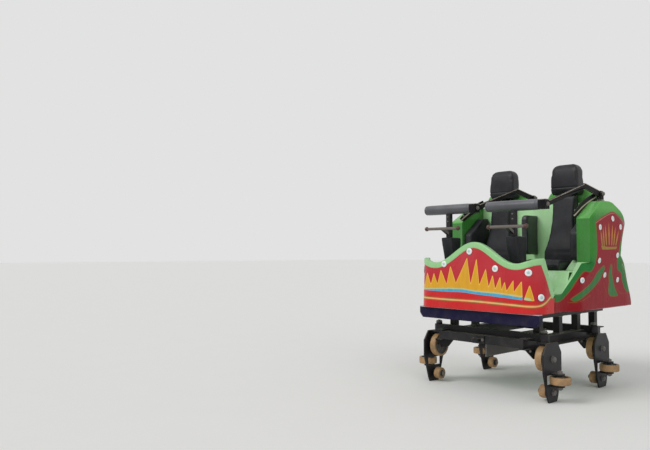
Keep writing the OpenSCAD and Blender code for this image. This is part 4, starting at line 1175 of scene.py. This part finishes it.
def bolt_head(bm, at, way, across, high=None, turn=0.0):
    """A washer, a hexagon head and the end of its thread."""
    at, way = Vector(at), Vector(way).normalized()
    high = high or across * 0.45
    washer = [(across * 0.25, 0.0), (across * 0.66, 0.0), (across * 0.66, WASHER_T),
              (across * 0.25, WASHER_T)]
    lathe(bm, washer, 24, at, way)
    stand = Matrix.Translation(at) @ way.to_track_quat("Z", "Y").to_matrix().to_4x4()
    stand = stand @ Matrix.Rotation(turn, 4, "Z")
    middle = stand @ Matrix.Translation((0, 0, WASHER_T + high / 2))
    head = bmesh.ops.create_cone(bm, cap_ends=True, segments=6, radius1=across * 0.577,
                                 radius2=across * 0.577, depth=high, matrix=middle)
    rim = [e for e in {e for v in head["verts"] for e in v.link_edges}
           if all((v.co - at).dot(way) > WASHER_T + high * 0.9 for v in e.verts)]
    bmesh.ops.bevel(bm, geom=rim, offset=across * 0.05, affect="EDGES", segments=2, profile=0.5, material=-1,
                    clamp_overlap=True)
    thread = stand @ Matrix.Translation((0, 0, WASHER_T + high * 1.17))
    bmesh.ops.create_cone(bm, cap_ends=True, segments=16, radius1=across * 0.27, radius2=across * 0.23,
                          depth=high * 0.35, matrix=thread)


def bead(bm, path, r):
    """A weld bead along a closed path lying level."""
    path = [Vector(p) for p in path]
    middle = sum(path, Vector()) / len(path)
    rings = []
    for k, p in enumerate(path):
        out = (p - middle).normalized()
        size = r * (1.0 + 0.18 * math.sin(k * 2.1))
        rings.append([p + out * size * math.cos(t) + Vector((0, 0, size * math.sin(t)))
                      for t in np.arange(6) * math.pi / 3])
    tube(bm, rings, endless=True)


def carrier_bolts(side, y):
    """Bolts of a wheel carrier, as (place, way, size across, height)."""
    out, inward = (side, 0, 0), (-side, 0, 0)
    return [((side * 0.512, y, RUN_Z), out, 0.036, None), ((side * 0.413, y, RUN_Z), inward, 0.027, 0.006),
            ((side * 0.512, y, STOP_Z), out, 0.032, None), ((side * 0.413, y, STOP_Z), inward, 0.027, 0.006),
            ((side * GUIDE_X, y, RAIL_Z + 0.045), (0, 0, 1), 0.032, None),
            ((side * GUIDE_X, y, RAIL_Z - 0.045), (0, 0, -1), 0.032, None),
            ((side * RAIL_X, y, 0.4655), (0, 0, 1), 0.042, 0.013)]


def frame_bolts():
    """Bolts of the frame and the body, listed in the same way."""
    bolts = []
    for side, y in CORNERS.values():
        bolts += [((side * 0.390, y + dy, z), (side, 0, 0), across, 0.006)
                  for dy, z, across in ((0.0, 0.335, 0.020), (-0.085, 0.339, 0.014), (0.085, 0.339, 0.014))]
    for side in SIDES.values():
        x = side * SEAT_X + ARM_X
        pin = (PIVOT[0], PIVOT[1] + BODY_Z)
        bolts += [((x + ARM_T + 0.016, *pin), (1, 0, 0), 0.026, 0.009),
                  ((x - 0.016, *pin), (-1, 0, 0), 0.026, 0.009)]
        bolts += [((side * (SIDE_IN - STAY_T), y, z), (-side, 0, 0), 0.015, None)
                  for y, z in up(stay_point(share, STAY_WIDE * 0.55) for share in (0.12, 0.45, 0.8))]
        bolts += [((side * 0.038, -0.628, LUG_Z), (0, -1, 0), 0.017, None),
                  ((side * 0.045, 0.560, LUG_Z), (0, 1, 0), 0.019, None)]
    return bolts


def restraint_bolts(side):
    """Bolts of a restraint, listed in the same way."""
    return [((side * SEAT_X + ARM_X + ARM_T, ROLL[0], ROLL[1] + BODY_Z), (1, 0, 0), 0.024, 0.008)] + [
        ((side * SEAT_X, ROLL[0] - 0.017, z + BODY_Z), (0, -1, 0), 0.010, None) for z in (0.655, 0.690)]


def post_beads(bm):
    """Weld beads round the heads and feet of the square posts between the frames."""
    post_x, half, bead_r = 0.36, 0.0255, 0.0035
    for side in (-1, 1):
        for y in (-0.42, -0.14, 0.14, 0.42):
            for z in (0.4262, 0.5493):
                square = [(side * post_x + a * half, y + b * half)
                          for a, b in ((1, 1), (-1, 1), (-1, -1), (1, -1), (1, 1))]
                bead(bm, [(px, py, z) for px, py in along(square, 0.008)[:-1]], bead_r)


class CAR_OT_fasteners(bpy.types.Operator):
    """Nuts, bolts and weld beads"""
    bl_idname = "coaster_car.fasteners"
    bl_label = "Fasteners"

    def execute(self, context):
        spots = {"root": frame_bolts()}
        spots.update({"carrier_" + corner: carrier_bolts(*place) for corner, place in CORNERS.items()})
        spots.update({"restraint_" + name: restraint_bolts(side) for name, side in SIDES.items()})
        for body, bolts in spots.items():
            bm = bmesh.new()
            for k, bolt in enumerate(bolts):
                bolt_head(bm, *bolt, turn=0.61 * k)
            if body == "root":
                post_beads(bm)
            hang(finish_mesh("fasteners_" + body, bm, 30), body, "dark_steel", None, "bolt finish")
        return {"FINISHED"}


# Soft pieces

CLOTH_FRAMES, EVENING_ROUNDS = 20, 14


def spread_out(obj, move, rounds):
    """Evens out a move of a mesh's points, each with its neighbours."""
    ends = np.empty(len(obj.data.edges) * 2, dtype=np.int32)
    obj.data.edges.foreach_get("vertices", ends)
    a, b = ends[0::2], ends[1::2]
    n = len(move)
    count = np.bincount(ends, minlength=n)[:, None]
    for _ in range(rounds):
        total = [np.bincount(a, move[b, k], n) + np.bincount(b, move[a, k], n) for k in range(3)]
        move = (move + np.stack(total, axis=1) / count) / 2
    return move


def blown_up(obj, rest):
    """Where a pad's points come to lie when air pushes its skin out from rest."""
    move_corners(obj, rest)
    cloth = modify(obj, "CLOTH")
    adjust(cloth.settings, quality=4, mass=0.3, tension_stiffness=12, compression_stiffness=12,
           shear_stiffness=6,
           bending_stiffness=4, use_pressure=True, uniform_pressure_force=4.0)
    cloth.settings.effector_weights.gravity = 0
    cloth.collision_settings.use_collision = False
    adjust(cloth.point_cache, frame_start=1, frame_end=CLOTH_FRAMES)
    scene = bpy.context.scene
    for f in range(1, CLOTH_FRAMES + 1):
        scene.frame_set(f)
    crown = rows(obj.evaluated_get(bpy.context.evaluated_depsgraph_get()).data.vertices, "co")
    obj.modifiers.remove(cloth)
    scene.frame_set(1)
    return crown


def pad(name, bm, radius, voxel, support=None, pull=0.0035):
    """A closed solid as a pad: rounded, given an even skin, drawn in, and blown up within a set distance."""
    obj = finish_mesh(name, bm, 180)
    bevel(obj, radius, 4)
    apply_modifiers(obj)
    modify(obj, "REMESH", mode="VOXEL", voxel_size=voxel)
    apply_modifiers(obj)
    first, out = corners(obj), rows(obj.data.vertex_normals, "vector")
    rest = first - out * pull
    crown = blown_up(obj, rest)
    move = spread_out(obj, crown - rest, EVENING_ROUNDS)
    far = np.linalg.norm(move, axis=1)[:, None]
    crown = rest + move * np.minimum(1.0, shape().swell / np.maximum(far, 1e-9))
    over = ((crown - first) * out).sum(axis=1)
    crown -= out * np.maximum(over - 0.0005, 0)[:, None]
    if support:
        lies = (out @ support) > 0.8
        crown[lies] += np.outer((first[lies] - crown[lies]) @ support, support)
    move_corners(obj, crown)
    modify(obj, "SUBSURF", levels=1, render_levels=1)
    return apply_modifiers(obj)


def press(obj, share, depth=0.004):
    """Presses a line into a pad; share runs from 0 to 1 at each point."""
    move_corners(obj, corners(obj) - rows(obj.data.vertex_normals, "vector") * (share * depth)[:, None])


def soft(obj, node_name, seam, look="seat cover", body="root"):
    attribute(obj, "seam", seam)
    hang(obj, body, "black_cover", node_name, look)


def upright(table, start, end):
    """A curve seen from the side, as its heights over the ground and its places along the car."""
    curve = np.array(up(bend(lay(table, start, end), 4)))
    return curve[:, 1], curve[:, 0]


def mirrored(half, x):
    """A closed outline round a middle at x, from its half as (distance from the middle, height)."""
    return up([(x + a, z) for a, z in half] + [(x - a, z) for a, z in half[::-1]])


def seat_pans(name):
    bm = bmesh.new()
    outline = up(lay(PAN_SHAPE, (BENCH_Y + 0.008, BENCH_H + PLAY), (BACK_Y - 0.1405, BENCH_H + PAN_T)))
    for x in (-SEAT_X, SEAT_X):
        slab(bm, outline, 0, x - PAN_HALF, x + PAN_HALF)
    obj = pad(name, bm, 0.012, 0.010, (0.0, 0.0, -1.0))
    co = corners(obj)
    channel_x, channel_half = 0.085, 0.006
    for x in (-SEAT_X, SEAT_X):
        across = np.abs(np.abs(co[:, 0] - x) - channel_x)
        press(obj, np.exp(-(across / channel_half) ** 2) * (co[:, 2] > BODY_Z + BENCH_H + 0.03))
    return obj, co[:, 2] - (BODY_Z + BENCH_H + PAN_T - 0.030)


def seat_backs(name):
    heights, places = upright(BACK_LEAN, (BACK_Y - 0.140, BENCH_H), (BACK_Y - 0.074, HEAD_FOOT))
    lean = heights, np.maximum(places, BACK_Y - 0.1395)
    half = bend(lay(BACK_WIDE, (SHOULDER_HALF, BENCH_H + PLAY), (HIP_HALF, HEAD_FOOT - PLAY)), 4)
    half = [(min(a, PAN_HALF), z) for a, z in half]
    bm = bmesh.new()
    for x in (-SEAT_X, SEAT_X):
        slab(bm, mirrored(half, x), 1, 0.0, BACK_Y - PLAY)
    rule(bm, 0.03, 2)
    for v in bm.verts:
        if v.co.y < 0.1:
            v.co.y = np.interp(v.co.z, *lean)
    obj = pad(name, bm, 0.012, 0.010, (0.0, 1.0, 0.0))
    co = corners(obj)
    return obj, co[:, 1] - np.interp(co[:, 2], *lean) - 0.026


def headrests(name):
    low, high = (BACK_Y - 0.070, HEAD_FOOT), (HUMP_Y, HEAD_TOP)
    face, rear = upright(HEAD_FRONT, low, high), upright(HEAD_BACK, low, high)
    half = bend(lay(HEAD_WIDE, (0, HEAD_FOOT), (HEAD_W / 2, HEAD_TOP)), 4)
    bm = bmesh.new()
    for x in (-SEAT_X, SEAT_X):
        slab(bm, mirrored(half, x), 1, 0.0, 1.0)
    rule(bm, 0.02, 2)
    for v in bm.verts:
        v.co.y = np.interp(v.co.z, *(face if v.co.y < 0.5 else rear))
    obj = pad(name, bm, 0.012, 0.0075)
    co = corners(obj)
    seam = co[:, 1] - np.interp(co[:, 2], *face) - 0.030
    from_line = (co[:, 2] - (BODY_Z + HEAD_FOOT + 0.058)) / 0.005
    press(obj, np.exp(-from_line ** 2) * (seam < 0))
    return obj, seam


class CAR_OT_seats(bpy.types.Operator):
    """Seat pans, backs and headrests"""
    bl_idname = "coaster_car.seats"
    bl_label = "Seats"

    def execute(self, context):
        for make in (seat_pans, seat_backs, headrests):
            obj, seam = make(make.__name__ + "_cover")
            soft(obj, make.__name__, seam)
        return {"FINISHED"}


class CAR_OT_bolsters(bpy.types.Operator):
    """Bolsters on the wings and between the seats"""
    bl_idname = "coaster_car.bolsters"
    bl_label = "Bolsters"

    def execute(self, context):
        bm = bmesh.new()
        outline = up(lay(BOLSTER_SHAPE, (WING_Y + 0.014, BOX_TOP + PLAY), (BACK_Y - PLAY, WING_TOP - 0.086)))
        for side in (-1, 1):
            slab(bm, outline, 0, *sorted((side * (SIDE_IN - BOLSTER_T), side * (SIDE_IN - PLAY))))
        obj = pad("side_bolsters_cover", bm, 0.014, 0.010)
        soft(obj, "side_bolsters", np.abs(corners(obj)[:, 0]) - (SIDE_IN - BOLSTER_T + 0.022))
        bm = bmesh.new()
        outline = up(lay(CENTRE_SHAPE, (BACK_Y - 0.192, BENCH_H + 0.106), (BACK_Y - PLAY, WING_TOP - 0.080)))
        slab(bm, outline, 0, -CENTRE_W / 2, CENTRE_W / 2)
        obj = pad("centre_bolster_cover", bm, 0.010, 0.007, (0.0, 1.0, 0.0), 0.003)
        soft(obj, "centre_bolster", np.abs(corners(obj)[:, 0]) - 0.004, "glossy cover")
        return {"FINISHED"}


def cut_block(obj, low, high):
    """Takes a block out of a piece."""
    low, high = Vector(low), Vector(high)
    bm = bmesh.new()
    bmesh.ops.create_cube(bm, size=1.0, matrix=Matrix.LocRotScale((low + high) / 2, None, high - low))
    tool = finish_mesh("cutter", bm)
    modify(obj, "BOOLEAN", operation="DIFFERENCE", object=tool, solver="EXACT")
    apply_modifiers(obj)
    bpy.data.objects.remove(tool)


def padded_roll(name, x):
    """A moulded sleeve round the restraint's tube, with a slot below for the stem."""
    end, z = x + ARM_X - BLOCK_LEN - PLAY, ROLL[1] + BODY_Z
    r = ROLL_D / 2
    half = [(TUBE_D / 2 + 0.0006, 0.0), (r - 0.010, 0.0), (r - 0.004, 0.002), (r - 0.0015, 0.007),
            (r - 0.0015, 0.016), (r - 0.003, 0.018), (r - 0.003, 0.020), (r - 0.001, 0.022), (r, 0.030)]
    bm = bmesh.new()
    lathe(bm, [(a, end - ROLL_LEN + h) for a, h in half] + [(a, end - h) for a, h in half[::-1]], 56,
          (0, ROLL[0], z), (1, 0, 0), start=Vector((0, 0, 1)))
    obj = finish_mesh(name, bm, 60)
    slot_x, slot_y = 0.0183, 0.0173
    cut_block(obj, (x - slot_x, ROLL[0] - slot_y, z - ROLL_D), (x + slot_x, ROLL[0] + slot_y, z))
    modify(obj, "EDGE_SPLIT", split_angle=math.radians(50))
    return apply_modifiers(obj)


class CAR_OT_restraint_pads(bpy.types.Operator):
    """Padded rolls and lap pads of the restraints"""
    bl_idname = "coaster_car.restraint_pads"
    bl_label = "Restraint pads"

    def execute(self, context):
        for name, side in SIDES.items():
            x, body = side * SEAT_X, "restraint_" + name
            roll = padded_roll("roll_" + name + "_cover", x)
            soft(roll, "roll_" + name, np.ones(len(roll.data.vertices)), "roll cover", body)
            bm = bmesh.new()
            outline = up(lay(PAD_SHAPE, (ROLL[0] - 0.045, PAD_TOP - PAD_H),
                             (ROLL[0] + 0.087, PAD_TOP - PLAY)))
            slab(bm, outline, 0, x - PAD_HALF, x + PAD_HALF)
            obj = pad("lap_pad_" + name + "_cover", bm, 0.010, 0.0065, None, 0.004)
            seam = np.abs(corners(obj)[:, 0] - x) - (PAD_HALF - 0.014)
            soft(obj, "lap_pad_" + name, seam, "lap pad cover", body)
        return {"FINISHED"}


# Running gear

# Kinds of wheel: distance from the middle of the car, height, radius, axis, bolts on each face
WHEELS = {"run": (RAIL_X, RUN_Z, RUN_R, (1, 0, 0), 6), "guide": (GUIDE_X, RAIL_Z, GUIDE_R, (0, 0, 1), 5),
          "stop": (RAIL_X, STOP_Z, STOP_R, (1, 0, 0), 0)}


def both_faces(half, w):
    """A wheel's profile from its half, as (distance from the axis, distance in from the face)."""
    return [(r, s - w) for r, s in half] + [(r, w - s) for r, s in half[::-1]]


def hub_bolts(bm, centre, axis, ring_r, high, count):
    a = Vector(axis)
    out = a.orthogonal().normalized()
    over = a.cross(out)
    for k in range(count):
        t = 2 * math.pi * k / count
        for face in (-1, 1):
            at = Vector(centre) + (out * math.cos(t) + over * math.sin(t)) * ring_r + a * face * high
            bolt_head(bm, at, a * face, 0.010, 0.0035, t)


class CAR_OT_wheels(bpy.types.Operator):
    """Running, guide and up-stop wheels"""
    bl_idname = "coaster_car.wheels"
    bl_label = "Wheels"

    def execute(self, context):
        w, bore, hub, web = WHEEL_W / 2, PIN_D / 2 + 0.0005, PIN_D / 2 + 0.012, 0.008
        for corner, (side, y) in CORNERS.items():
            for kind, (x, z, r, axis, count) in WHEELS.items():
                name, centre = kind + "_wheel_" + corner, (side * x, y, z)
                bm = bmesh.new()
                half = [(r - 0.0175, 0.001), (r - 0.005, 0.0), (r - 0.0022, 0.0012), (r - 0.0008, 0.005),
                        (r - 0.0002, w * 0.5), (r, w * 0.8)]
                lathe(bm, both_faces(half, w), 72, centre, axis)
                hang(finish_mesh(name + "_tread", bm), name, "tread", name, "cast tread")
                bm = bmesh.new()
                half = [(bore, 0.0), (hub - 0.001, 0.0), (hub, 0.001), (hub + 0.002, web), (r - 0.024, web),
                        (r - 0.021, 0.002), (r - 0.018, 0.002)]
                lathe(bm, both_faces(half, w), 72, centre, axis)
                hub_bolts(bm, centre, axis, (hub + r - 0.022) / 2, w - web, count)
                hang(finish_mesh(name + "_hub", bm), name, "dark_steel", None, "hub finish")
        return {"FINISHED"}


# Stage

# Viewpoint of the photo: place, turn in degrees (yaw, pitch, roll), focal length and width in pixels
VIEW_AT, VIEW_TURN, VIEW_FOCAL, VIEW_W = (2.729, -4.596, 1.018), (47.914, 2.444, 0.063), 638.87, 650
SENSOR_W = 36
# Lamps: name, way to it, power, spread in degrees
LAMPS = [("key", (-0.30, -0.85, 0.75), 1.15, 30), ("fill", (0.9, -0.35, 0.55), 0.4, 50)]
# Light of the surroundings on the car, and their brightness where they are seen
SKY_LIGHT, SKY_SEEN = 0.48, 0.76


def add_world(scene):
    world = bpy.data.worlds.new("studio")
    scene.world = world
    world.use_nodes = True
    w = Wires(world.node_tree)
    path = w.add("LightPath")
    seen = w.plus(path["Is Camera Ray"], w.plus(path["Is Glossy Ray"], path["Is Transmission Ray"]),
                  clamp=True)
    power = w.add("MapRange", {"Value": seen, "To Min": SKY_LIGHT, "To Max": SKY_SEEN})[0]
    w.fill(world.node_tree.nodes["Background"].inputs, {0: (1, 1, 1, 1), 1: power})


def add_camera(scene):
    yaw, pitch, roll = map(math.radians, VIEW_TURN)
    ahead = Vector((-math.sin(yaw) * math.cos(pitch), math.cos(yaw) * math.cos(pitch), math.sin(pitch)))
    right = ahead.cross(Vector((0, 0, 1))).normalized()
    turn = Matrix((right, right.cross(ahead), -ahead)).transposed().to_4x4() @ Matrix.Rotation(roll, 4, "Z")
    turn.translation = VIEW_AT
    cam = bpy.data.cameras.new("photo view")
    adjust(cam, sensor_width=SENSOR_W, lens=VIEW_FOCAL / VIEW_W * SENSOR_W)
    obj = bpy.data.objects.new("photo view", cam)
    obj.matrix_world = turn
    scene.collection.objects.link(obj)
    scene.camera = obj


class CAR_OT_stage(bpy.types.Operator):
    """Floor, surrounding light, soft lamps and camera"""
    bl_idname = "coaster_car.stage"
    bl_label = "Stage"

    def execute(self, context):
        scene = context.scene
        scene.view_settings.view_transform = "Standard"
        bm = bmesh.new()
        bmesh.ops.create_grid(bm, x_segments=1, y_segments=1, size=60)
        floor = finish_mesh("floor", bm, recalc=False)
        floor.data.materials.append(finish("studio floor"))
        add_world(scene)
        for name, way, power, spread in LAMPS:
            lamp = bpy.data.lights.new(name, "SUN")
            adjust(lamp, energy=power, angle=math.radians(spread))
            obj = bpy.data.objects.new(name, lamp)
            obj.location = Vector(way) * 6
            obj.rotation_euler = (-Vector(way)).to_track_quat("-Z", "Y").to_euler()
            scene.collection.objects.link(obj)
        add_camera(scene)
        return {"FINISHED"}


STEPS = [CAR_OT_front_cowl, CAR_OT_cowl_rim, CAR_OT_side_shells, CAR_OT_rear_shell, CAR_OT_lamp_caps,
         CAR_OT_bench, CAR_OT_steelwork, CAR_OT_wing_stays, CAR_OT_fasteners, CAR_OT_seats,
         CAR_OT_bolsters, CAR_OT_restraint_pads, CAR_OT_wheels, CAR_OT_stage]


class CAR_PT_panel(bpy.types.Panel):
    """Settings and steps of the car"""
    bl_idname = "CAR_PT_panel"
    bl_label = "Coaster Car"
    bl_space_type = "VIEW_3D"
    bl_region_type = "UI"
    bl_category = "Coaster Car"

    def draw(self, context):
        layout = self.layout
        for group in (context.scene.coaster_shape, context.scene.coaster_paint):
            for key in group.__annotations__:
                layout.prop(group, key)
        for step in STEPS:
            layout.operator(step.bl_idname)


CLASSES = [CarShape, CarPaint] + STEPS + [CAR_PT_panel]


def register():
    for c in CLASSES:
        bpy.utils.register_class(c)
    bpy.types.Scene.coaster_shape = bpy.props.PointerProperty(type=CarShape)
    bpy.types.Scene.coaster_paint = bpy.props.PointerProperty(type=CarPaint)


def unregister():
    del bpy.types.Scene.coaster_paint
    del bpy.types.Scene.coaster_shape
    for c in reversed(CLASSES):
        bpy.utils.unregister_class(c)


def main():
    register()
    for step in STEPS:
        area, name = step.bl_idname.split(".")
        getattr(getattr(bpy.ops, area), name)()


if __name__ == "__main__":
    main()
